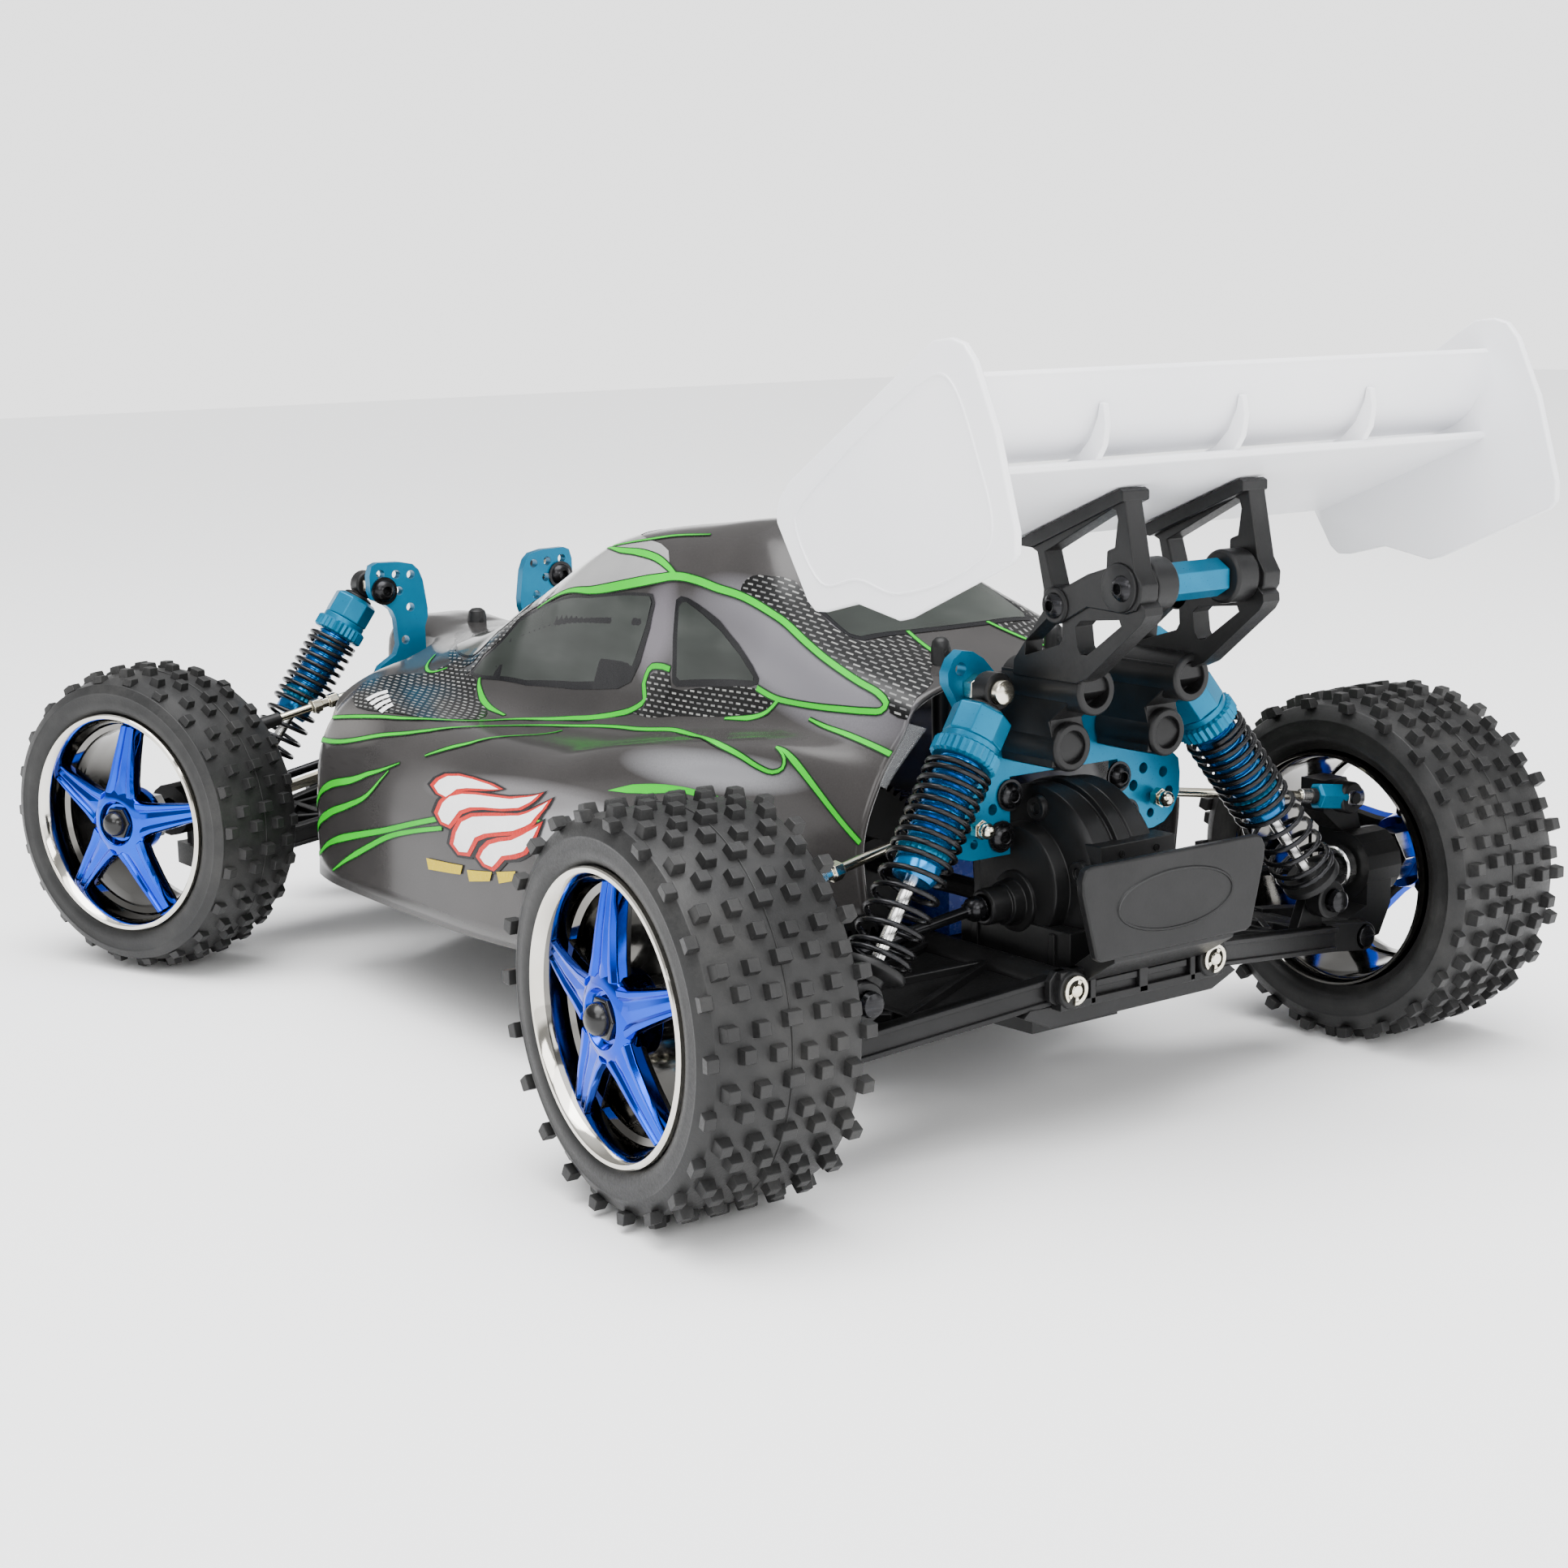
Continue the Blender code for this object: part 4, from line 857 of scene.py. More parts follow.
def build_wing():
    """Two side plates, the plane with its raised blade and ribs, and the four screws."""
    plate = [(-140.7, 148.3), (-137.6, 145.2), (-136, 142.2), (-136.4, 139.6), (-146.4, 124.4),
             (-148.9, 122.6), (-152.4, 122.8), (-162.9, 125.3), (-176, 123.1), (-179.4, 123.9),
             (-208.6, 136.2), (-210.5, 138.2), (-210.5, 142.2), (-205.1, 160.4), (-199.2, 172.8),
             (-196.2, 176), (-192.6, 177), (-187.4, 176.6), (-183, 174.2)]
    half = 77.5
    for side_name, side in SIDES:
        bm = bmesh.new()
        add_prism(bm, plate, "y", half - 1.9, half - 0.15)
        piece(f"wing_end_plate_{side_name}", bm, "root", "wing", WHITE, side, bevel=0.6, segments=3)
        bm = bmesh.new()
        inner = [(-146, 144.5), (-143, 140.5), (-151.5, 128.6), (-163.5, 130.2), (-176.5, 128.4),
                 (-203.5, 139.8), (-199.5, 156.5), (-192, 169.5), (-187, 170)]
        loop = [Vector((x, half - 0.15, z)) for x, z in smooth_outline(inner, 6)]
        add_tube(bm, loop + loop[:1], 0.32, 6, closed_ends=False)
        piece(f"wing_plate_bead_{side_name}", bm, "root", "wing", WHITE, side)
    bm = bmesh.new()
    add_prism(bm, [(-144, 132.6), (-189.6, 150.3), (-190.8, 151), (-190.9, 152.1), (-189.8, 152.5),
                   (-144.6, 134.6), (-143.4, 133.9), (-143.3, 133)], "y", 0.6 - half, half - 0.6)
    piece("wing_plane", bm, "root", "wing", WHITE, bevel=0.3, angle=40)
    bm = bmesh.new()
    centre = (-174.5, 168.5)
    blade = arc_points(centre, 15, 178, 262, 22) + arc_points(centre, 16.9, 262, 178, 22)
    blade += [(-191.5, 169.6), (-190.9, 170.4), (-189.9, 170.4), (-189.5, 169.6)]
    add_prism(bm, blade, "y", 0.6 - half, half - 0.6)
    piece("wing_blade", bm, "root", "wing", WHITE, bevel=0.2, angle=40, replaces=["wing"])
    bm = bmesh.new()
    for y in (-38, 0, 38):
        rib = [(-176.5, 146.6), (-189.4, 151.4), (-191.9, 155.2), (-192.7, 159.4), (-192.1, 163.4),
               (-190.8, 163.6), (-190.2, 160.6), (-188, 156.4), (-184.6, 153.2), (-180.4, 151.4)]
        add_prism(bm, rib, "y", y - 0.8, y + 0.8)
    piece("wing_ribs", bm, "root", "wing", WHITE, bevel=0.35)
    bm = bmesh.new()
    for x in (-158, -174):
        for y in (-17.8, 17.8):
            z = 134.6 + (-144.6 - x) * 0.394
            add_screw(bm, (x, y, z + 0.2), (0.37, 0, 0.93), 3, 1.5, 1.3)
            add_washer(bm, (x, y, z - 0.2), (0.37, 0, 0.93), 4.4, 0.7)
    piece("wing_screws", bm, "root", "dark_steel", DARK_STEEL, angle=40)


def plate_with_windows(outline, windows, low, high):
    """A plate in (x, z) with openings of any outline, as a bmesh."""
    bm = bmesh.new()
    add_prism(bm, outline, "y", low, high)
    blank = mesh_object("plate_blank", bm)
    tools = []
    for window in windows:
        tool = bmesh.new()
        add_prism(tool, window, "y", low - 3, high + 3)
        tools.append(mesh_object("window", tool))
    return cut_away(blank, tools)


def build_wing_mounts():
    """The two moulded stays: a braced frame and legs on hollow barrels, joined by a spacer."""
    frame_outline = [(-147.2, 133.2), (-149, 134), (-177, 145), (-178.4, 144.6), (-178.6, 142),
                     (-181.4, 128.6), (-183.4, 125.6), (-183.2, 122.8), (-181.4, 120.3),
                     (-178.4, 119.4), (-167, 119.9), (-160.4, 116.6), (-157.4, 115.6),
                     (-154.6, 116.8), (-153.2, 119.6), (-153.4, 122.6), (-151.4, 130.6),
                     (-149, 131.6), (-147.6, 132)]
    frame_window = [(-154.2, 130.8), (-156.6, 123.6), (-158.2, 122.9), (-167, 126.9),
                    (-172.8, 128.6), (-173, 132.2), (-175.3, 133), (-176.2, 138.6), (-175.6, 140.6),
                    (-174.4, 140.8)]
    leg_outline = [(-142.6, 103.4), (-143, 106.6), (-153.8, 119.4), (-158, 121.6), (-178, 126),
                   (-183.6, 121), (-183.8, 119.4), (-182.6, 117.6), (-166.4, 104.8), (-163, 103.4)]
    front_leg_window = [(-146.6, 107.9), (-147, 111), (-153.8, 116.4), (-158.6, 115.8),
                        (-158.7, 112.6), (-157.8, 111.2)]
    rear_leg_window = [(-163.4, 111.2), (-162.8, 115.4), (-164.4, 116.8), (-176, 118),
                       (-176.6, 116.8), (-166.4, 109.8), (-164.4, 109.8)]
    for side_name, side in SIDES:
        plate = plate_with_windows(frame_outline, [frame_window], 15.3, 20.3)
        piece(f"wing_stay_frame_{side_name}", plate, "root", "moulded", BLACK, side, bevel=0.4,
              replaces=[f"wing_mount_{side_name}"])
        plate = plate_with_windows(leg_outline, [front_leg_window, rear_leg_window], 14.6, 19.6)
        piece(f"wing_stay_legs_{side_name}", plate, "root", "moulded", BLACK, side, bevel=0.5)
        bm = bmesh.new()
        add_prism(bm, [(-146.6, 131.6), (-147, 133.3), (-177.4, 145.2), (-178.6, 144.6),
                       (-178.6, 142.6), (-150.4, 131.4)], "y", 13.4, 21)
        piece(f"wing_stay_flange_{side_name}", bm, "root", "moulded", BLACK, side, bevel=0.3)
        bm = bmesh.new()
        for z, reach in ((101.3, 25.5), (88.2, 18)):
            add_turned(bm, [(0, 0), (0, 5.4), (reach - 0.5, 5.4), (reach, 4.9), (reach, 3.6),
                            (reach - 4, 3.5), (reach - 4, 0)], (-138, 14.1, z), (-1, 0, 0), 40)
        add_prism(bm, [(-138, 84), (-154.5, 84), (-155.4, 88.2), (-153.5, 94), (-158, 97.5),
                       (-162.6, 101), (-162.6, 104.4), (-138, 104.4)], "y", 9.3, 18.9)
        for x in (-139, -146.5, -153.4):
            add_box(bm, (x - 0.5, x + 0.5), (9.6, 18.6), (88, 101.5))
        add_prism(bm, [(-138, 95), (-152, 95), (-158, 101), (-158, 103.6), (-138, 103.6)],
                  "y", 9.4, 18.6)
        add_turned(bm, [(8.4, 0), (8.4, 5.2), (9, 5.8), (14.4, 5.8), (14.8, 5.2), (20.8, 5.2),
                        (21, 4.8), (21, 0)], (-177, 0, 124.8), (0, 1, 0), 40)
        add_turned(bm, [(14.6, 0), (14.6, 4), (20.6, 4), (20.9, 3.6), (20.9, 0)],
                   (-157.4, 0, 119.6), (0, 1, 0), 36)
        piece(f"wing_stay_barrels_{side_name}", bm, "root", "moulded", BLACK, side, bevel=0.35)
        bm = bmesh.new()
        for x, z in ((-178.2, 124.8), (-157.4, 119.6)):
            add_screw(bm, (x, 20.6, z), (0, 1, 0), 2.9, 1.8, 1.4)
        add_rod(bm, (-157.4, 13, 119.6), (-157.4, 14.8, 119.6), 2.6, 6)
        piece(f"wing_stay_screws_{side_name}", bm, "root", "dark_steel", DARK_STEEL, side, angle=40)
    bm = bmesh.new()
    add_turned(bm, [(-8.3, 0), (-8.3, 3.5), (-7.7, 4.15), (7.7, 4.15), (8.3, 3.5), (8.3, 0)],
               (-177, 0, 124.8), (0, 1, 0), 6, 0.52)
    piece("wing_hex_spacer", bm, "root", "blue_aluminium", CYAN, bevel=0.2,
          replaces=["wing_spacer"])


# ---------------------------------------------------------------- rear end

def add_bar(bm, a, b, width, height):
    """A straight bar of rectangular section between two points."""
    a = Vector(a)
    b = Vector(b)
    forward = (b - a).normalized()
    side = forward.cross(Vector((0, 0, 1))).normalized() * (width / 2)
    lift = side.cross(forward).normalized() * (height / 2)
    rows = [[bm.verts.new(end + side * s + lift * t) for s,
             t in ((-1, -1), (1, -1), (1, 1), (-1, 1))]
            for end in (a, b)]
    bm.faces.new(rows[0][::-1])
    bm.faces.new(rows[1])
    bridge(bm, rows)


BULGE_Z = 55.0         # height of the gear cases' round bulges


def add_gear_case(bm, axle, half, boxes, outdrive, outdrive_z, boss, boss_reach, boss_angles):
    """The round bulge, boxes around it, and each side's outdrive and ring of screw bosses."""
    profile = [(-distance, radius) for distance, radius in half] + half[::-1]
    add_turned(bm, profile, (axle, 0, BULGE_Z), (0, 1, 0), 72)
    for x, y, z in boxes:
        add_box(bm, (axle + x[0], axle + x[1]), y, z)
    for side in (-1, 1):
        add_turned(bm, outdrive, (axle, side * 14.4, outdrive_z), (0, side, 0), 40)
        for angle in boss_angles:
            x = axle + boss_reach * math.cos(math.radians(angle))
            z = BULGE_Z + boss_reach * math.sin(math.radians(angle))
            add_turned(bm, boss, (x, side * 9.9, z), (0, side, 0), 20)


def build_rear_gearbox():
    axle = REAR_AXLE
    bm = bmesh.new()
    half = [(14.8, 0), (14.8, 12.2), (14.2, 13.2), (10.8, 13.8), (10.4, 18.4), (9.6, 20.8),
            (8.4, 21.8), (3.2, 21.8), (2.8, 21.2), (2.2, 21.2), (1.8, 22.4)]
    boxes = [((-18.6, 18.6), (-15.2, 15.2), (29, 47)), ((-2, 18.6), (-15.2, 15.2), (24.3, 30)),
             ((4, 18.2), (-11.6, 11.6), (40, 66)), ((-22.6, -16), (-12.5, 9.7), (61.6, 66.2))]
    boxes += [((x - 1, x + 1), y, (30, 46)) for y in ((-15.9, -15), (15, 15.9))
              for x in (-13, 13)]
    boxes += [((-19.4, -18), (y - 0.9, y + 0.9), (30, 46.4)) for y in (-8.5, 0, 8.5)]
    outdrive = [(0, 0), (0, 7.2), (1.2, 6.9), (1.6, 5.2), (4.6, 4.9), (4.8, 4.2), (9.8, 4.1),
                (10.2, 3.7), (10.2, 2.9), (7, 2.9), (7, 0)]
    boss = [(0, 0), (0, 3), (1.6, 2.8), (1.6, 1.4), (0.9, 1.4), (0.9, 0)]
    add_gear_case(bm, axle, half, boxes, outdrive, 51.1, boss, 17.4, (35, 100, 165, 230, 320))
    piece("rear_gearbox_case", bm, "root", "moulded", BLACK, bevel=0.4, replaces=["rear_gearbox"])
    bm = bmesh.new()
    for y in (-6.6, 3.8):
        add_rod(bm, (axle - 22.9, y, 63.9), (axle - 22.4, y, 63.9), 0.8, 16)
    piece("rear_gearbox_tab_holes", bm, "root", "dark_steel", GLOSS_BLACK)


def build_rear_bumper():
    """The skid plate with its moulded oval, and the brace that holds the hinge pins."""
    bm = bmesh.new()
    half = [(21.6, 45), (23.2, 45.8), (27, 60.4), (27.3, 63.4), (26.2, 65.6), (24.6, 66.2)]
    add_prism(bm, mirrored(half), "x", -173.3, -171.1)
    piece("rear_skid_plate", bm, "root", "moulded", BLACK, bevel=0.6, segments=3,
          replaces=["rear_bumper"])
    bm = bmesh.new()
    loop = [Vector((-173.2, 17 * math.cos(angle), 55.8 + 6.4 * math.sin(angle)))
            for angle in (FULL_TURN * step / 60 for step in range(61))]
    add_tube(bm, loop, 0.42, 6, closed_ends=False)
    piece("rear_skid_oval", bm, "root", "moulded", BLACK)
    bm = bmesh.new()
    face = -163.4
    back = face + 3.2
    add_prism(bm, [(back, 38.4), (back, 41.4), (face - 4, 46.5), (face - 9.6, 46.5),
                   (face - 9.6, 44.2),
                   (face - 0.4, 38.4)], "y", -17.8, 17.8)
    brace = mirrored([(22.6, 32.6), (26.4, 35), (26.4, 39.4), (24.6, 41.3)])
    add_prism(bm, brace, "x", face + 1.4, back)
    for z in (40.4, 33.5):
        add_box(bm, (face, back), (-24.4, 24.4), (z - 0.9, z + 0.9))
    for y, width in ((-15, 1.6), (0, 2.6), (15, 1.6)):
        add_box(bm, (face, back), (y - width / 2, y + width / 2), (32.8, 41))
    for y in (-7.5, 7.5):
        add_box(bm, (face + 0.6, back), (y - 6.2, y + 6.2), (36.2, 37.8))
    for side in (-1, 1):
        add_turned(bm, [(0, 0), (0, 4.4), (3.4, 4.4), (3.7, 4), (3.7, 0)],
                   (back, side * HINGE_Y, REAR_PIN_Z), (-1, 0, 0), 36)
    under = mirrored([(24.4, 28.4), (32, 31.6), (30, 33.2)])
    add_prism(bm, under, "x", face + 3.4, face + 20)
    piece("rear_pin_brace", bm, "root", "moulded", BLACK, bevel=0.35)
    bm = bmesh.new()
    for y in (-HINGE_Y, HINGE_Y):
        add_rod(bm, (face + 4, y, REAR_PIN_Z), (face - 1.6, y, REAR_PIN_Z), 1.5, 20, 0.3)
        add_clip(bm, (face - 0.6, y, REAR_PIN_Z), -1)
        add_rod(bm, (face + 3, y, REAR_PIN_Z), (-112, y, REAR_PIN_Z), 1.5, 16)
    piece("rear_pins_and_clips", bm, "root", "steel", BRASSY, bevel=0.1)


def add_clip(bm, centre, outward):
    """An E-clip: an open ring with three short teeth that reach the pin."""
    x, y, z = centre
    low, high = sorted((x, x + outward * 0.55))
    turn = -62
    for start, end, inner, outer in ((20, 340, 2.35, 3.25), (20, 44, 1.5, 2.6),
                                     (166, 194, 1.5, 2.6),
                                     (316, 340, 1.5, 2.6)):
        ring = arc_points((y, z), outer, start + turn, end + turn, 20)
        ring += arc_points((y, z), inner, end + turn, start + turn, 20)
        add_prism(bm, ring, "x", low, high)


# ---------------------------------------------------------------- front end

def build_front_gearbox():
    bm = bmesh.new()
    half = [(14.8, 0), (14.8, 11), (14.2, 12), (10.8, 12.4), (10.4, 15.4), (9.6, 17.2), (8.4, 18),
            (3.2, 18), (2.8, 17.5), (2.2, 17.5), (1.8, 18.5)]
    boxes = [((-18.2, 18.2), (-15.2, 15.2), (24.4, 43)), ((-18.2, -6), (-11.6, 11.6), (40, 66))]
    boxes += [((18, 18.5), (y - 0.9, y + 0.9), (27, 42)) for y in (-9.5, 0, 9.5)]
    outdrive = [(0, 0), (0, 6.8), (1.2, 6.5), (1.6, 5), (4.2, 4.7), (4.4, 4.1), (7.4, 4),
                (7.6, 3.7), (7.6, 2.9), (5, 2.9), (5, 0)]
    boss = [(0, 0), (0, 2.6), (1.6, 2.4), (1.6, 1.3), (0.9, 1.3), (0.9, 0)]
    add_gear_case(bm, FRONT_AXLE, half, boxes, outdrive, BULGE_Z, boss, 14.2,
                  (20, 90, 160, 215, 325))
    piece("front_gearbox_case", bm, "root", "moulded", BLACK, bevel=0.4, replaces=["front_gearbox"])


def build_front_bumper():
    """The bumper plate with its ribbed upstand, and the brace that holds the hinge pins."""
    half = [(160.2, 13), (166, 26), (174, 40), (178.4, 43.2), (182, 43.9), (184.8, 42), (186, 38)]
    outline = half + [(x, -y) for x, y in reversed(half)]
    holes = [((x, side * y), radius) for x, y, radius in ((177, 33, 2.2), (177, 12, 2.2),
                                                          (169.4, 18.6, 1.7))
             for side in (-1, 1)]
    bm = punched(outline, holes, "z", 24.4, 27.3)
    add_prism(bm, [(182.8, 25), (185.9, 25), (186.3, 36.6), (186, 37.8), (184.2, 37.9),
                   (183.3, 36.8)],
              "y", -34, 34)
    for y in (-28, -14, 0, 14, 28):
        add_prism(bm, [(173.5, 26.5), (183.2, 26.5), (183.6, 35.5), (182.4, 35.5)], "y", y - 0.8,
                  y + 0.8)
    for z in (29, 33.6):
        add_box(bm, (185.4, 186.4), (-31.5, 31.5), (z - 0.6, z + 0.6))
    add_box(bm, (164.2, 168), (-12, 12), (26, 38.2))
    for y in (-12.6, -4.2, 4.2, 12.6):
        add_prism(bm, [(167, 26.5), (172.6, 26.5), (168.2, 37), (167, 37)], "y", y - 0.7, y + 0.7)
    piece("front_bumper_plate", bm, "root", "moulded", BLACK, bevel=0.35,
          replaces=["front_bumper"])
    bm = bmesh.new()
    face = 166.2
    back = 162.2
    bar = mirrored([(24, 37.6), (26.2, 39.4), (26.2, 44), (24, 45.6)])
    add_prism(bm, bar, "x", back, face - 1.2)
    for z in (38.4, 44.8):
        add_box(bm, (back, face), (-24.2, 24.2), (z - 0.8, z + 0.8))
    for y, width in ((-15, 1.6), (0, 2.6), (15, 1.6)):
        add_box(bm, (back, face), (y - width / 2, y + width / 2), (38, 45.2))
    for side in (-1, 1):
        add_turned(bm, [(0, 0), (0, 4.3), (4.2, 4.3), (4.5, 3.9), (4.5, 0)],
                   (back, side * HINGE_Y, FRONT_HINGE_Z), (1, 0, 0), 36)
    piece("front_pin_brace", bm, "root", "moulded", BLACK, bevel=0.35)
    bm = bmesh.new()
    for y in (-HINGE_Y, HINGE_Y):
        add_rod(bm, (112, y, FRONT_HINGE_Z), (face + 2.2, y, FRONT_HINGE_Z), 1.5, 20, 0.3)
        add_clip(bm, (face + 1, y, FRONT_HINGE_Z), 1)
    piece("front_pins_and_clips", bm, "root", "steel", BRASSY, bevel=0.1)


# ---------------------------------------------------------------- arms, hubs and links

def build_arm(corner, side):
    """A ribbed arm drawn flat, along +Y from its hinge, then tilted to where it stands."""
    front = corner.startswith("front")
    axle = FRONT_AXLE if front else REAR_AXLE
    outward = 1 if front else -1
    pivot = (HINGE_Y, FRONT_HINGE_Z if front else REAR_HINGE_Z)
    span = (66, -13 if front else -8.4)      # from the inner to the outer hinge, in (y, z)
    foot = FRONT_SHOCK_FOOT if front else REAR_SHOCK_FOOT
    length = math.hypot(*span)
    unit = (span[0] / length, span[1] / length)
    local = (foot[1] - pivot[0], foot[2] - pivot[1])
    foot_along = local[0] * unit[0] + local[1] * unit[1]
    foot_height = -local[0] * unit[1] + local[1] * unit[0]

    def spot(x, y, z=0):
        return axle + outward * x, y, z

    def flat(*points):
        return [spot(x, y)[:2] for x, y in points]

    bm = bmesh.new()
    tube = [(0, 2), (0, 3.4), (0.5, 3.8), (45.3, 3.8), (45.8, 3.4), (45.8, 2)]
    add_turned(bm, tube, spot(-23.4, 0), (outward, 0, 0), 32)
    y1 = 54.0
    for x0, x1 in ((21.4, 12.4), (-22.2, -12)):
        for z, width, height in ((0, 2.6, 6), (2.4, 4.2, 1.2), (-2.4, 4.2, 1.2)):
            add_bar(bm, spot(x0, 1, z), spot(x1, y1, z), width, height)
    for a, b in (((0, 2), (11.6, 35)), ((0, 2), (-13, 34)), ((16, 34.5), (-15.5, 34.5)),
                 ((12.6, 52.6), (-12, 52.6)), ((8.6, 36), (-11.6, 52)), ((-9, 36), (11.6, 52))):
        add_bar(bm, spot(*a), spot(*b), 1.9, 5)
    add_prism(bm, flat((20.6, 3), (12, 53), (-12, 53), (-22, 3)), "z", -0.7, 0.7)
    add_prism(bm, flat((13, 44), (12.5, 55.4), (-12.5, 55.4), (-13, 44)), "z", -2.8, 2.4)
    for x in (10.5, -10.5):
        add_box(bm, sorted((axle + outward * (x - 2), axle + outward * (x + 2))),
                (52, length), (-3.5, 3.5))
        add_turned(bm, [(-2, 0), (-2, 3.5), (2, 3.5), (2, 0)], spot(x, length), (1, 0, 0), 28)
    inner = foot[0] - outward * 3.5
    low, high = sorted((inner, inner - outward * 3))
    lug = [(foot_along - 5, 1), (foot_along + 4.8, 1), (foot_along + 2.2, foot_height + 0.9),
           (foot_along, foot_height + 1.8), (foot_along - 2.2, foot_height + 0.9)]
    add_prism(bm, lug, "x", low, high)
    slope = math.atan2(span[1], span[0])
    tilt = Matrix.Translation((0, *pivot)) @ Matrix.Rotation(slope, 4, "X")
    bmesh.ops.transform(bm, matrix=tilt, verts=bm.verts[:])
    piece(f"{corner}_arm_casting", bm, f"{corner}_arm", "moulded", BLACK, side, bevel=0.3,
          replaces=[f"{corner}_lower_arm"])

    bm = bmesh.new()
    add_rod(bm, (axle - 12.6, length, 0), (axle + 12.6, length, 0), 1.5, 18, 0.3)
    for end in (-1, 1):
        add_turned(bm, [(12, 0), (12, 2.7), (13, 2.5), (13.3, 1.6), (13.3, 0)],
                   (axle, length, 0), (end, 0, 0), 24)
    add_rod(bm, (inner - outward * 1, foot_along, foot_height),
            (foot[0] + outward * 3.8, foot_along, foot_height), 1.5, 18, 0.3)
    add_turned(bm, [(3.6, 0), (3.6, 2.9), (5, 2.6), (5.5, 1.6), (5.5, 0)],
               (foot[0], foot_along, foot_height), (outward, 0, 0), 24)
    for y in (49.5, 53, 46):
        add_rod(bm, spot(12.6, y), spot(13.3, y), 0.9, 14)
    bmesh.ops.transform(bm, matrix=tilt, verts=bm.verts[:])
    piece(f"{corner}_arm_pins", bm, f"{corner}_arm", "dark_steel", DARK_STEEL, side, bevel=0.1)


ROD_EYE = 4.0          # radius of a rod end's eye
ROD_HALF = 2.5         # half its width


def build_link(name, a, b, body, side, node_name):
    """A turnbuckle with a hexagonal grip in the middle and a moulded rod end at each end."""
    a = Vector(a)
    b = Vector(b)
    axis = (b - a).normalized()
    length = (b - a).length
    eye = [(-ROD_HALF, 2), (-ROD_HALF, ROD_EYE - 0.5), (0.5 - ROD_HALF, ROD_EYE),
           (ROD_HALF - 0.5, ROD_EYE), (ROD_HALF, ROD_EYE - 0.5), (ROD_HALF, 2)]
    shank = [(ROD_EYE - 1, 0), (ROD_EYE - 1, 2.1), (ROD_EYE + 7, 1.9), (ROD_EYE + 7.4, 1.5),
             (ROD_EYE + 7.4, 0)]
    bm = bmesh.new()
    for centre, inward in ((a, axis), (b, -axis)):
        add_turned(bm, eye, centre, (1, 0, 0), 28)
        add_turned(bm, shank, centre, inward, 20)
    piece(f"{name}_rod_ends", bm, body, "moulded", BLACK, side, bevel=0.15, replaces=[node_name])
    bm = bmesh.new()
    middle = length * (0.62 if length > 55 else 0.5)
    add_rod(bm, a + axis * (ROD_EYE + 6), b - axis * (ROD_EYE + 6), 1.15, 16)
    half = [(-4.6, 0), (-4.6, 1.6), (-4, 2.2), (-1.4, 2.2), (-1, 1.5)]
    grip = [(middle + at, radius) for at, radius in half]
    grip += [(middle - at, radius) for at, radius in reversed(half)]
    add_turned(bm, grip, a, axis, 6)
    for centre in (a, b):
        add_ball(bm, centre, 2, 16)
    piece(f"{name}_turnbuckle", bm, body, "steel", BRASSY, side, bevel=0.12)


def build_drive_shaft(corner, side):
    """A thin shaft with a pinned ball at each end."""
    front = corner.startswith("front")
    axle = FRONT_AXLE if front else REAR_AXLE
    ends = ((26, 55.2), (81.8, 44.2)) if front else ((26.5, 51.1), (84.2, 43.8))
    a = Vector((axle, *ends[0]))
    b = Vector((axle, *ends[1]))
    axis = (b - a).normalized()
    length = (b - a).length
    bm = bmesh.new()
    add_rod(bm, a, b, 1.35, 20)
    for centre in (a, b):
        add_ball(bm, centre, 2.9)
        add_rod(bm, centre - Vector((2.9, 0, 0)), centre + Vector((2.9, 0, 0)), 0.9, 14)
    add_turned(bm, [(-1.5, 0), (-1.5, 2.6), (1.5, 1.8), (3, 1.35), (3, 0)], a, axis, 20)
    add_turned(bm, [(length - 4, 0), (length - 4, 1.35), (length - 2, 2.2), (length + 1.5, 3),
                    (length + 1.5, 0)], a, axis, 20)
    piece(f"{corner}_dogbone", bm, f"{corner}_half_shaft", "dark_steel", DARK_STEEL, side,
          replaces=[f"{corner}_drive_shaft"])


def build_suspension(corner, side):
    """Arm, shock, drive shaft and camber link; the rear links have a hexagonal outer nut."""
    front = corner.startswith("front")
    build_arm(corner, side)
    build_shock(corner, side)
    build_drive_shaft(corner, side)
    ends = (((126, 29, 75.5), (126, 80, 65)) if front
            else ((-129, 27, 69.5), (-140, 90, 61.3)))
    build_link(f"{corner}_camber", ends[0], ends[1], f"{corner}_link", side,
               f"{corner}_camber_link")
    if not front:
        start = Vector(ends[1])
        inward = (Vector(ends[0]) - start).normalized()
        bm = bmesh.new()
        add_turned(bm, [(1.2, 0), (1.2, 2.6), (1.8, 3.4), (8.9, 3.4), (9.5, 2.6), (9.5, 0)], start,
                   inward, 6)
        piece(f"{corner}_camber_hex", bm, f"{corner}_link", "blue_aluminium", CYAN, side,
              bevel=0.15)
        bm = bmesh.new()
        add_turned(bm, [(-4.4, 0), (-4.4, 1.6), (-3.8, 2.7), (1.3, 3), (1.3, 0)], start, inward, 24)
        add_turned(bm, [(9.5, 0), (9.5, 1.7), (14, 1.7), (14, 0)], start, inward, 24)
        piece(f"{corner}_camber_cap", bm, f"{corner}_link", "steel", STEEL, side, bevel=0.15)


# ---------------------------------------------------------------- CAD pieces that show as they are

def dress_frame():
    """Gives the plain CAD pieces their finish and soft edges."""
    finishes = {"motor": STEEL, "drag_link": STEEL, "tie_rod_left": BRASSY, "tie_rod_right": BRASSY,
                "pinion": STEEL, "spur_gear": BLACK, "battery_pack": BATTERY}
    for name, shown in frame["nodes"].items():
        if name == "body_shell":
            continue
        shown.data.materials.clear()
        shown.data.materials.append(finishes.get(name, BLACK))
        soften(shown, 0.35)


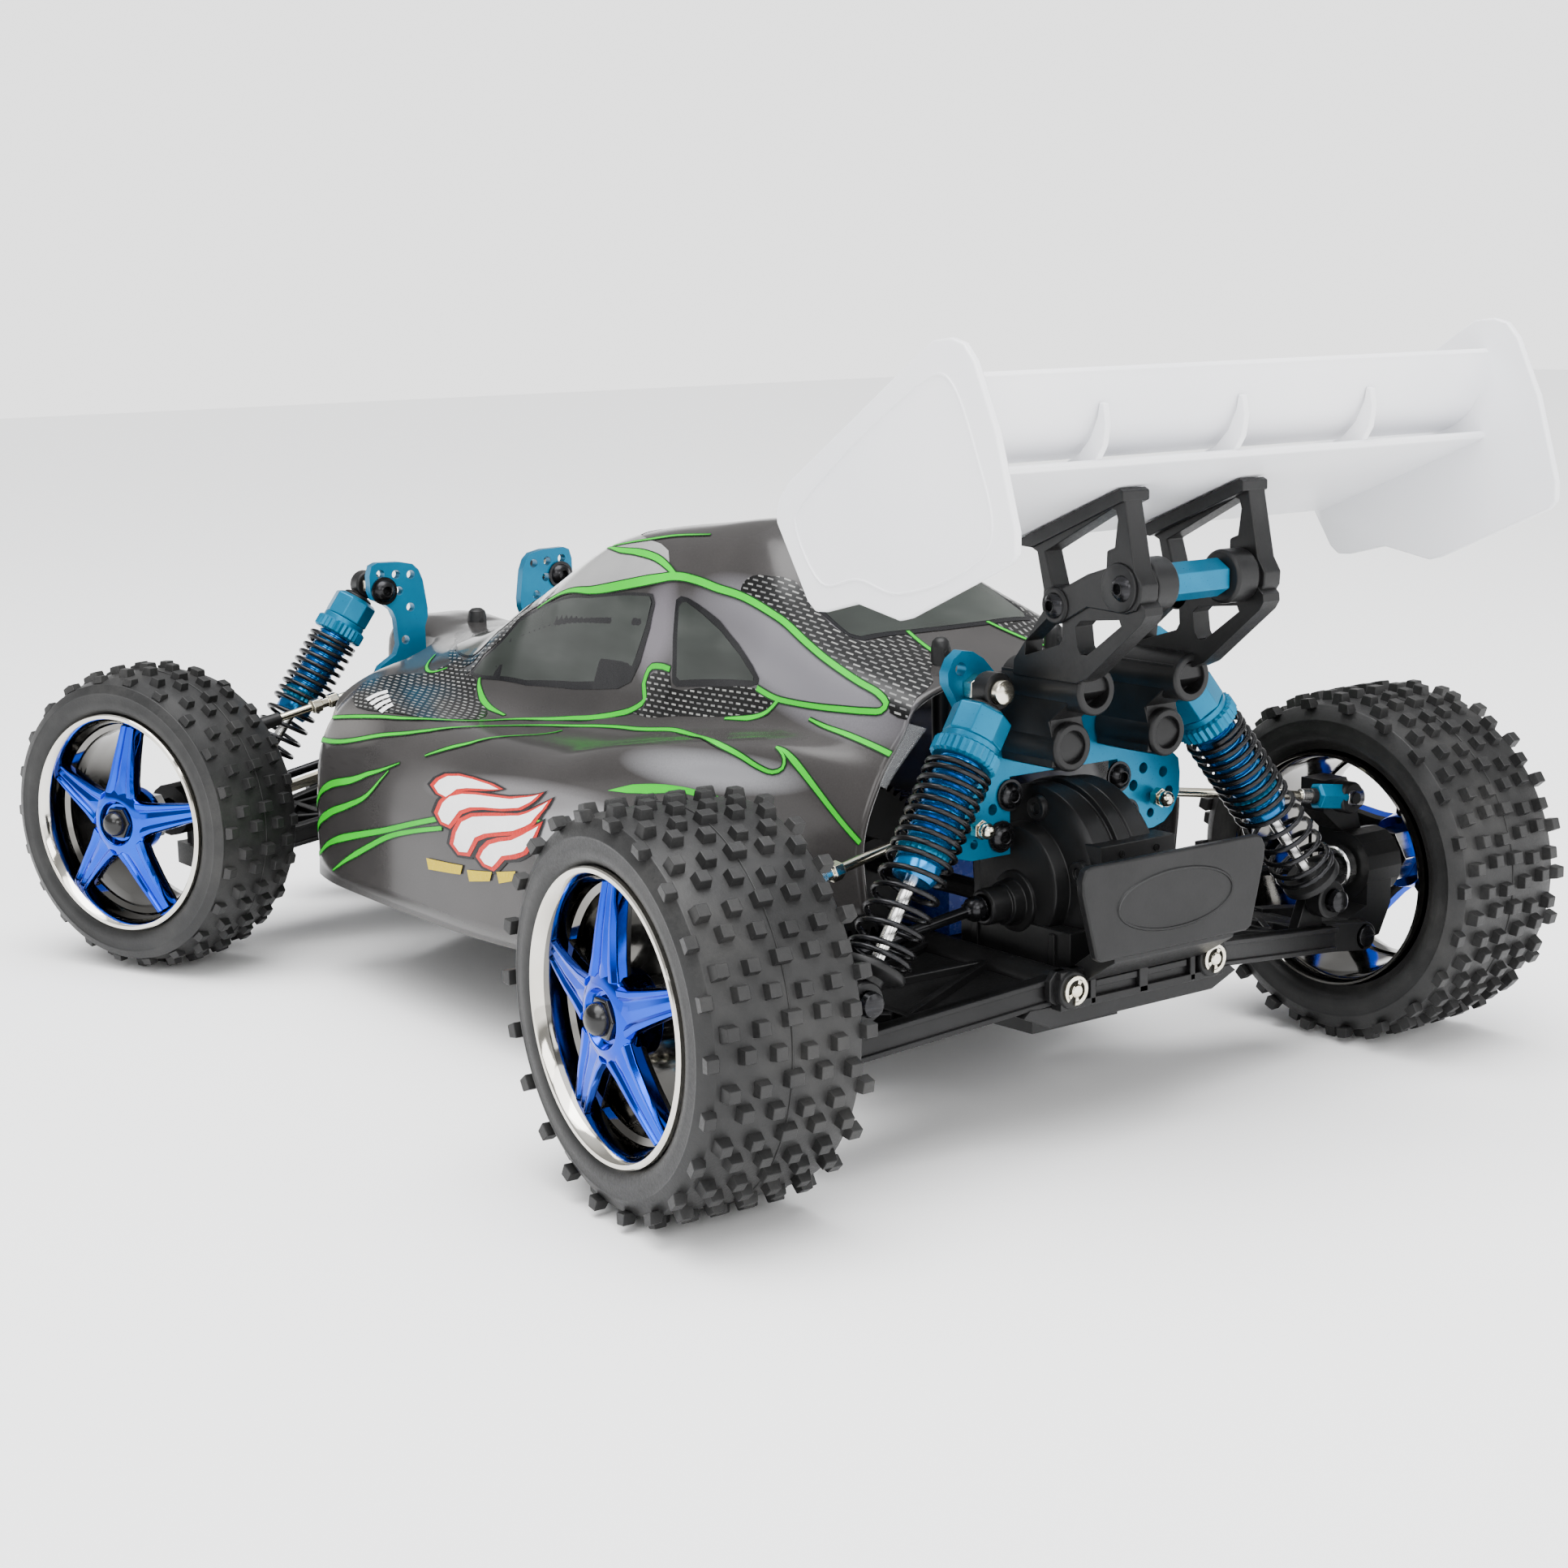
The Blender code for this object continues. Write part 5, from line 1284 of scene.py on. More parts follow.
BATTERY = speckled("battery_wrap", (0.02, 0.05, 0.30), (0.03, 0.08, 0.42), (0.2, 0.32), coat=0.5,
                   scale=500, bump=0.08)


# ---------------------------------------------------------------- body shell

# Half sections of the shell from the centre line to its lower edge: roof, roof edge, ridge,
# foot of the cab side, shoulder, ledge and lower edge, each (y, z), at places along the car.
SHELL_SECTIONS = [
    (158.5, [(0, 86.5), (8, 86.3), (12.5, 84.8), (15, 82), (15.6, 80), (15.9, 77.6), (16, 75)]),
    (156, [(0, 89.6), (9, 89.4), (14, 87.6), (16.6, 84), (17.2, 81), (17.4, 78.2), (17.4, 75.4)]),
    (146, [(0, 90.2), (9, 89.9), (13.8, 88.2), (16.2, 85), (16.6, 82), (16.7, 79.4), (16.6, 77)]),
    (134.5, [(0, 89.6), (8, 89.3), (12.6, 88), (15.2, 86), (15.7, 83.6), (15.8, 81.5),
             (15.8, 79.5)]),
    (128, [(0, 89), (8, 88.7), (13, 87.6), (15.8, 86), (16.5, 84.2), (16.7, 82.4), (16.8, 80.5)]),
    (115, [(0, 89), (10, 88.6), (18, 87.2), (24.5, 85), (32, 82.5), (38, 80), (41, 76.5)]),
    (101, [(0, 90.4), (13, 89.8), (24, 87.4), (35, 84), (53, 80.4), (62, 74.5), (50, 70)]),
    (97, [(0, 91), (14, 90.3), (26, 87.6), (37, 83.8), (56, 79.4), (67, 69), (67, 31)]),
    (88, [(0, 93), (17, 91.8), (31, 87.8), (42, 82.6), (62, 78.2), (73.5, 66), (77, 28.6)]),
    (72, [(0, 98.4), (19, 96.6), (36, 87.4), (44.6, 80.6), (66, 76.9), (76, 63.5), (79, 28)]),
    (55, [(0, 106), (20, 103.8), (36.4, 94.6), (45.4, 80.2), (68, 76), (77, 61.5), (79.6, 28)]),
    (37, [(0, 113.6), (21, 111.6), (33, 104.8), (46, 79.4), (69, 75.3), (77.3, 60.8), (80, 28)]),
    (10, [(0, 124.6), (22, 123), (33, 114), (46, 79), (70, 75), (77.3, 60.5), (80, 28)]),
    (-28, [(0, 129), (21, 128), (32, 117), (46, 80), (70, 76), (77, 62), (79, 29)]),
    (-50, [(0, 131), (19, 130), (32, 115.5), (45, 83), (68, 80), (73.5, 69), (73, 32)]),
    (-75, [(0, 118.5), (20, 117.8), (33.5, 110.5), (44.5, 86.5), (61.5, 83.5), (66, 73), (65, 37)]),
    (-97, [(0, 107.5), (25, 107), (36, 103.5), (43, 89), (53, 85), (57, 70), (56, 44)]),
    (-125, [(0, 100.5), (22, 99.5), (33, 95), (36, 90), (42.5, 80.5), (48, 67), (47, 51)]),
]
STATIONS = [x for x, _ in SHELL_SECTIONS]


def pchip_slopes(xs, ys):
    """Slopes of a curve through points that never overshoots them."""
    steps = [(ys[i + 1] - ys[i]) / (xs[i + 1] - xs[i]) for i in range(len(xs) - 1)]
    slopes = [steps[0]]
    for before, after in zip(steps, steps[1:]):
        slopes.append(0 if before * after <= 0 else 2 * before * after / (before + after))
    return slopes + [steps[-1]]


SECTION_CURVES = []
for control in range(7):
    for axis_index in (0, 1):
        values = [half[control][axis_index] for _, half in SHELL_SECTIONS]
        SECTION_CURVES.append((values, pchip_slopes(STATIONS, values)))

SECTION_CACHE = {}


def section_at(x):
    """The seven (y, z) points of the half section at any place along the car."""
    key = round(min(max(x, STATIONS[-1]), STATIONS[0]), 3)
    if key in SECTION_CACHE:
        return SECTION_CACHE[key]
    low = 0
    while low < len(STATIONS) - 2 and key < STATIONS[low + 1]:
        low += 1
    width = STATIONS[low + 1] - STATIONS[low]
    t = (key - STATIONS[low]) / width
    weights = ((1 + 2 * t) * (1 - t) ** 2, t * (1 - t) ** 2 * width, t * t * (3 - 2 * t),
               t * t * (t - 1) * width)
    found = []
    for values, slopes in SECTION_CURVES:
        found.append(values[low] * weights[0] + slopes[low] * weights[1]
                     + values[low + 1] * weights[2] + slopes[low + 1] * weights[3])
    points = [Vector((found[2 * index], found[2 * index + 1])) for index in range(7)]
    first = Vector((-points[1].x, points[1].y))
    last = points[6] * 2 - points[5]
    SECTION_CACHE[key] = [first, *points, last]
    return SECTION_CACHE[key]


def shell_spot(x, v):
    """A point of the left half: v runs from 0 on the centre line to 6 on the lower edge."""
    v = min(max(v, 0), 6)
    index = min(int(v), 5)
    controls = section_at(x)
    spot = spline_point(controls[index:index + 4], v - index)
    return Vector((x, spot.x, spot.y))


def shell_normal(x, v):
    """The outward direction of the shell, from its slopes along x and v."""
    step = 0.02
    ahead = shell_spot(min(x + 0.5, STATIONS[0]), v) - shell_spot(max(x - 0.5, STATIONS[-1]), v)
    down = shell_spot(x, min(v + step, 6)) - shell_spot(x, max(v - step, 0))
    normal = ahead.cross(down)
    if normal.length < 1e-9:
        return Vector((0, 0, 1))
    normal.normalize()
    return normal if normal.y * 0.7 + normal.z > -0.4 else -normal


def lifted(x, v, lift):
    """A point that stands a little off the shell."""
    return shell_spot(x, v) + shell_normal(x, v) * lift


CHART_SCALE = 15.0     # millimetres that one step of v is worth in the flat chart


def inside(point, outline):
    """Whether a flat point lies inside a closed outline."""
    found = False
    for a, b in zip(outline, outline[1:] + outline[:1]):
        if (a[1] > point[1]) != (b[1] > point[1]):
            if point[0] < a[0] + (point[1] - a[1]) / (b[1] - a[1]) * (b[0] - a[0]):
                found = not found
    return found


def add_patch(bm, outline, lift, side, spacing=2.6, round_corners=0):
    """Lays a flat outline of (x, v) points on the shell as a fine skin of triangles."""
    flat = [Vector((x, v * CHART_SCALE)) for x, v in outline]
    if round_corners:
        flat = smooth_outline(flat, round_corners)
    edge = []
    for a, b in zip(flat, flat[1:] + flat[:1]):
        count = max(1, int((b - a).length / 1.2))
        edge += [a + (b - a) * (step / count) for step in range(count)]
    low = Vector((min(p.x for p in edge), min(p.y for p in edge)))
    high = Vector((max(p.x for p in edge), max(p.y for p in edge)))
    fill = []
    limits = [(p.x, p.y) for p in edge]
    y = low.y + spacing / 2
    while y < high.y:
        x = low.x + spacing / 2
        while x < high.x:
            if inside((x, y), limits) and min((p - Vector((x, y))).length for p in edge) > 0.9:
                fill.append(Vector((x, y)))
            x += spacing
        y += spacing
    count = len(edge)
    borders = [(index, (index + 1) % count) for index in range(count)]
    found = delaunay_2d_cdt(edge + fill, borders, [list(range(count))], 1, 0.0001)
    verts = []
    for spot in found[0]:
        place = lifted(spot.x, spot.y / CHART_SCALE, lift)
        verts.append(bm.verts.new((place.x, place.y * side, place.z)))
    for face in found[2]:
        bm.faces.new([verts[index] for index in face])


def add_ribbon(bm, line, widths, lift, side):
    """A painted stripe along (x, v) points; its width, in millimetres, changes along it."""
    flat = [Vector((x, v * CHART_SCALE)) for x, v in line]
    path = []
    for index in range(len(flat) - 1):
        four = [flat[max(index - 1, 0)], flat[index], flat[index + 1],
                flat[min(index + 2, len(flat) - 1)]]
        if index == 0:
            four[0] = flat[0] * 2 - flat[1]
        if index == len(flat) - 2:
            four[3] = flat[-1] * 2 - flat[-2]
        steps = max(2, int((flat[index + 1] - flat[index]).length / 1.3))
        path += [spline_point(four, step / steps) for step in range(steps)]
    path.append(flat[-1])
    places = [lifted(p.x, p.y / CHART_SCALE, lift) for p in path]
    rows = []
    for index, place in enumerate(places):
        share = index / (len(places) - 1) * (len(widths) - 1)
        low = min(int(share), len(widths) - 2)
        width = widths[low] + (widths[low + 1] - widths[low]) * (share - low)
        ahead = places[min(index + 1, len(places) - 1)] - places[max(index - 1, 0)]
        normal = shell_normal(path[index].x, path[index].y / CHART_SCALE)
        across = normal.cross(ahead).normalized() * (width / 2)
        row = []
        for shift in (-1, 1):
            spot = place + across * shift
            row.append(bm.verts.new((spot.x, spot.y * side, spot.z)))
        rows.append(row)
    bridge(bm, rows, closed=False)


def paint_piece(name, bm, material):
    """Paint lies on the shell, so its faces all point away from it."""
    for face in bm.faces:
        face.normal_update()
        centre = face.calc_center_median()
        out = Vector((0, centre.y, centre.z - 70))
        if face.normal.dot(out) < 0:
            face.normal_flip()
    made = finished(name, bm, material)
    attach(made, "root")


def both(draw):
    """Draws the same thing on the left and on the right half."""
    bm = bmesh.new()
    for side in (1, -1):
        draw(bm, side)
    return bm


def patches(outlines, lift, **how):
    """Filled patches on both halves, as one mesh."""
    def draw(bm, side):
        for outline in outlines:
            add_patch(bm, outline, lift, side, **how)
    return both(draw)


# Stripes in (x, v), with their widths along them
STRIPES = [
    ([(34, 2.1), (22.1, 2.086), (6.1, 2.12), (-8.3, 2.09), (-22.5, 2.03), (-31.3, 1.98),
      (-39.6, 1.98), (-49.3, 2), (-59.5, 1.98), (-69.1, 1.97), (-77.5, 1.97), (-85.6, 1.98),
      (-93.1, 1.98), (-101.5, 2.01), (-109, 2.05), (-114.9, 2.08), (-117.9, 2.22), (-117.2, 2.46),
      (-113.2, 2.56), (-105.7, 2.63), (-97.2, 2.67), (-90.3, 2.68), (-83.7, 2.67), (-74.9, 2.61)],
     [0.2, 1, 2.3, 2.6, 1.9, 1.7, 1.5, 1.5, 1.4, 1.3, 1.1, 1.2]),
    ([(-84.5, 2.69), (-82, 2.81), (-77.7, 2.88), (-66, 2.9)], [1, 1.3, 0.5]),
    ([(12.8, 1.231), (2, 1.45), (-7, 1.55), (-17.4, 1.7), (-25.2, 1.87), (-30.6, 2)],
     [0.3, 1.6, 1.9, 1.6, 1]),
    ([(10.1, 1.226), (-6.3, 1.2), (-17.5, 1.15), (-33, 1.19)], [0.4, 0.8, 0.2]),
    ([(-36.4, 2.56), (-32, 2.55), (-27.2, 2.58), (-26.4, 2.66), (-28.6, 2.75), (-24.6, 2.83),
      (-18.4, 2.88), (-8.4, 2.94), (6, 3.02), (23.3, 3.249), (30.2, 3.607), (44.7, 3.9),
      (62.2, 4.12), (79.6, 4.413), (89.6, 4.627)], [1.3, 1.5, 1.3, 0.9, 0.8, 0.9, 1, 0.9]),
    ([(90, 5.02), (74.3, 4.78), (55.9, 4.41), (39.3, 4.14), (23.3, 3.78), (14.6, 3.32),
      (-9.4, 3.04), (-36.4, 2.99), (-51.8, 3.07), (-68.6, 3.38), (-85.6, 3.98), (-91.7, 4.18),
      (-96.3, 4.32), (-100.4, 4.37), (-102.5, 4.28), (-102.2, 4.13), (-98.9, 3.93)],
     [1.2, 1, 0.8, 0.7, 0.8, 1.3, 1.4, 0.5]),
    ([(-98.9, 3.93), (-101.2, 3.99), (-105.8, 4.18), (-110.1, 4.37), (-114.2, 4.55), (-119, 4.76),
      (-124.6, 5)], [0.4, 1.5, 1.2, 1.1, 1.1]),
    ([(27, 4.45), (17.1, 4.21), (7.5, 3.96), (0.2, 3.6), (-3, 3.2)], [0.3, 0.9, 0.7, 0.3]),
    ([(-98, 2.86), (-100.2, 2.9), (-108.3, 3.08), (-116.9, 3.31), (-124.6, 3.5)], [0.5, 1.2, 1.2]),
    ([(-96.8, 0.46), (-102.8, 0.51), (-110, 0.58), (-118, 0.72)], [0.9, 1.1, 0.4]),
    ([(92, 5.62), (85.5, 5.42), (77.7, 5.29), (61.9, 5.11), (49.1, 4.9), (38.8, 4.68)],
     [0.6, 2, 1.8, 1, 0.2]),
    ([(93, 5.86), (87.9, 5.66), (77.7, 5.5), (65.4, 5.36), (52.8, 5.18), (47, 5.01), (43.5, 4.84)],
     [0.8, 2.1, 1.7, 1.2, 0.3]),
    ([(88, 5.86), (78.5, 5.72), (61.1, 5.56), (41.6, 5.41), (26.2, 5.28), (10.5, 5.15)],
     [0.8, 1.9, 1.5, 1.3, 1.2]),
    ([(76, 5.9), (66.3, 5.77), (52.5, 5.6), (39.6, 5.45), (26, 5.34), (11, 5.24)],
     [0.4, 1.5, 1.4, 1.1, 1]),
    ([(-6.1, 5), (-15.5, 4.96), (-25.6, 4.97), (-36, 5.06)], [1.2, 1.2, 0.9, 0.5]),
    ([(53.4, 2.71), (52.2, 2.816), (47, 2.987), (37.8, 3.12), (27.4, 3.182)], [0.9, 1.6, 1.5, 0.6]),
    ([(96, 2.6), (84, 2.9), (76.7, 2.503)], [0.3, 0.9, 0.3]),
]

# Filled patches in (x, v)
SIDE_WINDOW = [(58.4, 2.578), (54.7, 2.398), (47.1, 2.269), (42.1, 2.132), (33.7, 2.143),
               (23.7, 2.157), (5.8, 2.18), (-12, 2.165), (-21.6, 2.165), (-23, 2.2), (-22.6, 2.34),
               (-20.4, 2.52), (-18.4, 2.62), (-14.3, 2.66), (5, 2.70), (29.4, 2.726), (51.3, 2.674),
               (57.3, 2.626)]
SIDE_FRAME = [(60.4, 2.563), (55, 2.36), (47.7, 2.231), (42.9, 2.07), (33.8, 2.102), (24.1, 2.134),
              (5.8, 2.16), (-12, 2.145), (-22.6, 2.145), (-24.6, 2.2), (-24.5, 2.35), (-22.8, 2.54),
              (-20.4, 2.66), (-15.1, 2.71), (4.2, 2.75), (28.8, 2.769), (52.8, 2.718),
              (59.4, 2.646)]
QUARTER_FRAME = [(-33.4, 2.16), (-35, 2.13), (-38, 2.13), (-42.6, 2.15), (-47.6, 2.18),
                 (-53.2, 2.22), (-58.5, 2.28), (-63.2, 2.33), (-67.4, 2.39), (-71.2, 2.45),
                 (-74.8, 2.53), (-74.9, 2.58), (-72, 2.605), (-63.3, 2.63), (-50, 2.65),
                 (-40.6, 2.66), (-38.6, 2.64), (-37.6, 2.58), (-35.2, 2.38)]
QUARTER_WINDOW = [(-35.4, 2.2), (-36.6, 2.165), (-38, 2.16), (-45.7, 2.21), (-55.1, 2.29),
                  (-65, 2.405), (-72.6, 2.53), (-72.8, 2.56), (-60, 2.585), (-41.5, 2.62),
                  (-39.8, 2.6), (-37.2, 2.38)]
WINDSCREEN = [(56, 0), (54, 0.6), (49, 1.3), (45, 1.72), (50, 1.86), (62, 1.96), (80, 1.98),
              (92, 1.9), (97, 1.4), (99, 0.7), (99.5, 0)]
REAR_GLASS = [(-62, 0), (-62, 0.5), (-64, 0.98), (-70, 1.16), (-82.7, 1.32), (-93.4, 1.13),
              (-95.6, 1), (-96.4, 0.46), (-96.2, 0)]
REAR_RIM = [(-60.8, 0), (-60.8, 0.52), (-63, 1.03), (-70, 1.22), (-82.7, 1.39), (-94.2, 1.19),
            (-97.4, 1.03), (-98.2, 0.47), (-98, 0)]
CARBON_PATCHES = [
    [(-28.7, 2.6), (-36, 2.57), (-38.6, 2.67), (-50, 2.66), (-74, 2.615), (-82.2, 2.69),
     (-82.6, 2.77), (-76, 2.84), (-62.9, 2.88), (-45, 2.87), (-24.6, 2.85), (-28.6, 2.77),
     (-27, 2.66)],
    [(-57.6, 1.96), (-56.6, 1.84), (-58.6, 1.7), (-64.1, 1.55), (-70, 1.34), (-82.7, 1.395),
     (-94.2, 1.19), (-98.2, 1), (-98.4, 0.5), (-106.9, 0.56), (-121.5, 1.17), (-123.3, 1.72),
     (-124.6, 2.5), (-119.6, 2.43), (-118.4, 2.2), (-114.9, 2.06), (-101.5, 2), (-85.6, 1.96),
     (-69.1, 1.955)],
    [(94.8, 3.955), (90, 3.3), (84, 2.98), (77.6, 2.369), (63, 2.608), (54.9, 2.744), (51, 3),
     (47.1, 3.049), (34.9, 3.217), (30, 3.45), (38.3, 3.748), (47, 3.86), (62.7, 4), (79.6, 4.189)],
    [(70, 2.78), (62, 2.56), (54.4, 1.74), (31.2, 2.1), (26.5, 1.884), (34.5, 2.058), (43.7, 2.031),
     (48, 2.207), (56.3, 2.3), (61.2, 2.543), (71.6, 2.357)],
    [(112, 1.25), (98, 1.5), (84, 2.04), (60, 2.16), (62, 2.3), (76, 2.34), (92, 2.1), (108, 1.9),
     (118, 1.6)],
]
ROOF_SILVER = [(46, 0), (45, 0.6), (41, 1.3), (37, 1.74), (36, 2.04), (22.1, 2.057), (6.1, 2.1),
               (-8.3, 2.07), (-22.5, 2.02), (-30.2, 1.98), (-24.6, 1.82), (-20.5, 1.55),
               (-14.6, 1.37), (-6.3, 1.2), (4, 0.9), (6, 0.4), (6.5, 0)]
FENDER_STROKE = [(-58, 4.89), (-65.1, 4.83), (-72.8, 4.83), (-80, 4.83), (-89.5, 4.86), (-98, 4.96),
                 (-89, 4.95), (-80.2, 4.93), (-70.2, 5), (-63.9, 4.97)]
LOUVRES = [[(x, 3.66 + (78 - x) * 0.012), (x, 3.98 + (78 - x) * 0.004),
            (x - 2.9, 3.99 + (78 - x) * 0.004), (x - 2.9, 3.69 + (78 - x) * 0.012)]
           for x in (79, 74.4, 69.8, 65.2)]


def build_shell_skin():
    """The vacuum-formed shell itself, from the section curves, with real thickness."""
    bm = bmesh.new()
    places = []
    for front, back in zip(STATIONS, STATIONS[1:]):
        count = max(2, math.ceil((front - back) / 1.8))
        places += [front + (back - front) * step / count for step in range(count)]
    places.append(STATIONS[-1])
    columns = [index / 7 for index in range(43)]
    rows = []
    for x in places:
        left = [shell_spot(x, v) for v in columns]
        right = [Vector((spot.x, -spot.y, spot.z)) for spot in left[1:]]
        rows.append([bm.verts.new(spot) for spot in list(reversed(right)) + left])
    bridge(bm, rows, closed=False)
    bm.faces.new(rows[0][::-1])
    shell = piece("painted_shell", bm, "root", "shell", BODY_PAINT, angle=60,
                  replaces=["body_shell"])
    thicken(shell, 0.9)


def build_paint():
    """Paint, panes and stripes, as skins that lie at their own small lifts above the shell."""
    paint_piece("paint_roof_silver", patches([ROOF_SILVER], 0.10), ROOF_PAINT)
    paint_piece("paint_carbon", patches(CARBON_PATCHES, 0.14, round_corners=2), CARBON)
    screen_frame = [(x - (1.2 if x < 60 else -0.6), v * 1.02) for x, v in WINDSCREEN]
    frames = [SIDE_FRAME, QUARTER_FRAME, REAR_RIM, screen_frame]
    paint_piece("paint_window_edges", patches(frames, 0.18), EDGE_BLACK)
    panes = [SIDE_WINDOW, QUARTER_WINDOW, REAR_GLASS, WINDSCREEN]
    paint_piece("window_panes", patches(panes, 0.24), PANE)

    def stripes(bm, side):
        for line, widths in STRIPES:
            add_ribbon(bm, line, widths, 0.26, side)
        add_patch(bm, FENDER_STROKE, 0.24, side)
    paint_piece("paint_green_stripes", both(stripes), GREEN)

    def shadows(bm, side):
        for line, widths in STRIPES:
            add_ribbon(bm, line, [width + 0.7 for width in widths], 0.21, side)
    paint_piece("paint_stripe_edges", both(shadows), GREEN_EDGE)
    paint_piece("paint_louvres", patches(LOUVRES, 0.28), DECAL_WHITE)


# A side sticker of made-up shapes: four swept strokes, each inside a red edge, over short strips
DECAL_X = 18.6
DECAL_LENGTH = 56.0
DECAL_TOP = 4.60
DECAL_DEPTH = 0.80
DECAL_STROKES = [
    [(0.02, 0.30), (0.12, 0.06), (0.34, 0.00), (0.58, 0.08), (0.40, 0.14), (0.22, 0.24),
     (0.14, 0.42)],
    [(0.10, 0.66), (0.18, 0.40), (0.40, 0.26), (0.70, 0.22), (0.92, 0.10), (0.78, 0.34),
     (0.48, 0.44), (0.28, 0.56), (0.20, 0.74)],
    [(0.26, 0.92), (0.32, 0.68), (0.52, 0.56), (0.80, 0.48), (1.00, 0.30), (0.90, 0.56),
     (0.62, 0.70), (0.44, 0.80), (0.38, 0.96)],
    [(0.50, 0.98), (0.58, 0.84), (0.76, 0.76), (0.96, 0.62), (0.86, 0.84), (0.68, 0.92),
     (0.60, 1.04)],
]
DECAL_STRIPS = ((0, 0.34, 1.14), (0.38, 0.60, 1.13), (0.64, 0.80, 1.08))


def decal_spot(along_share, down_share):
    """A place on the shell from shares of the decal's length and depth."""
    return DECAL_X - along_share * DECAL_LENGTH, DECAL_TOP + down_share * DECAL_DEPTH


def grown_stroke(points, grow):
    """The stroke moved outwards along its own corners' normals."""
    result = []
    for index, point in enumerate(points):
        before = Vector(points[index - 1])
        after = Vector(points[(index + 1) % len(points)])
        run = after - before
        result.append(Vector(point) + Vector((run.y, -run.x)).normalized() * grow)
    return [decal_spot(point.x, point.y) for point in result]


def decal_layer(grow, lift):
    grown = [grown_stroke(points, grow) for points in DECAL_STROKES]
    return patches(grown, lift, spacing=1.6, round_corners=2)


def build_decal():
    paint_piece("decal_black_edge", decal_layer(0.075, 0.28), EDGE_BLACK)
    paint_piece("decal_red_edge", decal_layer(0.045, 0.34), DECAL_RED)
    paint_piece("decal_white_fill", decal_layer(0.004, 0.42), DECAL_WHITE)
    strips = [[decal_spot(start, down), decal_spot(end, down - 0.04),
               decal_spot(end - 0.02, down + 0.05), decal_spot(start + 0.02, down + 0.10)]
              for start, end, down in DECAL_STRIPS]
    paint_piece("decal_yellow_strips", patches(strips, 0.42), DECAL_YELLOW)


def build_shell_hardware():
    """Body posts with their clip holes, and the clear flange behind the painted edge."""
    foot = 74.0

    def add_post(bm, x, y, radius, height):
        top = shell_spot(x, abs(y) / 24).z + height
        add_turned(bm, [(0, 0), (0, radius), (top - foot - 2.6, radius),
                        (top - foot - 1, radius * 0.86),
                        (top - foot - 0.2, radius * 0.5),
                        (top - foot, 0)], (x, y, foot), (0, 0, 1), 28)
        for end in (-1, 1):
            add_rod(bm, (x - end * (radius + 0.05), y, top - 3.6),
                    (x - end * (radius - 0.5), y, top - 3.6), 0.8, 12)

    bm = bmesh.new()
    for y in (-17, 17):
        add_post(bm, -115, y, 2.3, 6)
    piece("rear_body_posts", bm, "root", "moulded", BLACK, bevel=0.15)
    bm = bmesh.new()
    add_post(bm, 130, 0, 2.9, 4.2)
    piece("front_body_post", bm, "root", "moulded", BLACK, bevel=0.15)

    def flange(bm, side):
        rows = []
        for step in range(5):
            row = []
            for index in range(14):
                spot = shell_spot(-125, 2.6 + 1.5 * index / 13)
                row.append(bm.verts.new((-124.9 - step * 1.5 * (1 - 0.05 * index),
                                         (spot.y - 0.05 * step) * side, spot.z - 0.1 * step)))
            rows.append(row)
        bridge(bm, rows, closed=False)
    thicken(piece("clear_shell_flange", both(flange), "root", "shell", CLEAR), 0.5)


# ---------------------------------------------------------------- body finishes

def body_paint_material():
    """Charcoal metallic paint under clear plastic, with silver clouds: partly airbrushed fades,
    partly painted highlights.
    """
    material = new_material("body_paint", (0.03, 0.03, 0.03), 0.18, metallic=0.15, coat=0.03,
                            specular=0.22)
    nodes = Nodes(material)
    flake = nodes.noise(2600, 2, 0.7)
    cloud = nodes.noise(18, 3)
    base = nodes.ramp(cloud, [(0.3, (0.020, 0.0185, 0.018)), (0.75, (0.037, 0.034, 0.033))])
    x, y, z = nodes.axes()
    width = nodes.math("ABSOLUTE", y)

    def fade_and_highlight_at(centre, reach, strength, tilt=0):
        parts = [(nodes.math("SUBTRACT", value, middle), size)
                 for value, middle, size in zip((x, width, z), centre, reach)]
        if tilt:
            sloped = nodes.math("MULTIPLY", parts[0][0], tilt)
            parts[2] = (nodes.math("SUBTRACT", parts[2][0], sloped), parts[2][1])
        total = None
        for shifted, size in parts:
            scaled = nodes.math("DIVIDE", shifted, size)
            square = nodes.math("MULTIPLY", scaled, scaled)
            total = square if total is None else nodes.math("ADD", total, square)
        falloff = nodes.math("SUBTRACT", 1, total, clamp=True)
        soft = nodes.math("MULTIPLY", falloff, nodes.math("ADD",
                                                          nodes.math("MULTIPLY", flake, 0.5), 0.75))
        return nodes.math("MULTIPLY", soft, strength, clamp=True)

    # Mixes in each silver patch: partly an airbrushed fade, partly a painted highlight.
    colour = base
    for centre, reach, strength, tilt, tone in SILVER_FADES_AND_HIGHLIGHTS:
        placed = car_to_frame(centre, 1)
        sizes = tuple(value * MM for value in reach)
        colour = nodes.mix(fade_and_highlight_at(placed, sizes, strength, tilt), colour, tone)
    speck = nodes.mix(nodes.math("MULTIPLY", flake, 0.07), colour, (0.24, 0.235, 0.235))
    nodes.colour(speck)
    nodes.roughness(nodes.ramp(flake, [(0.3, 0.14), (0.75, 0.26)]))
    return material
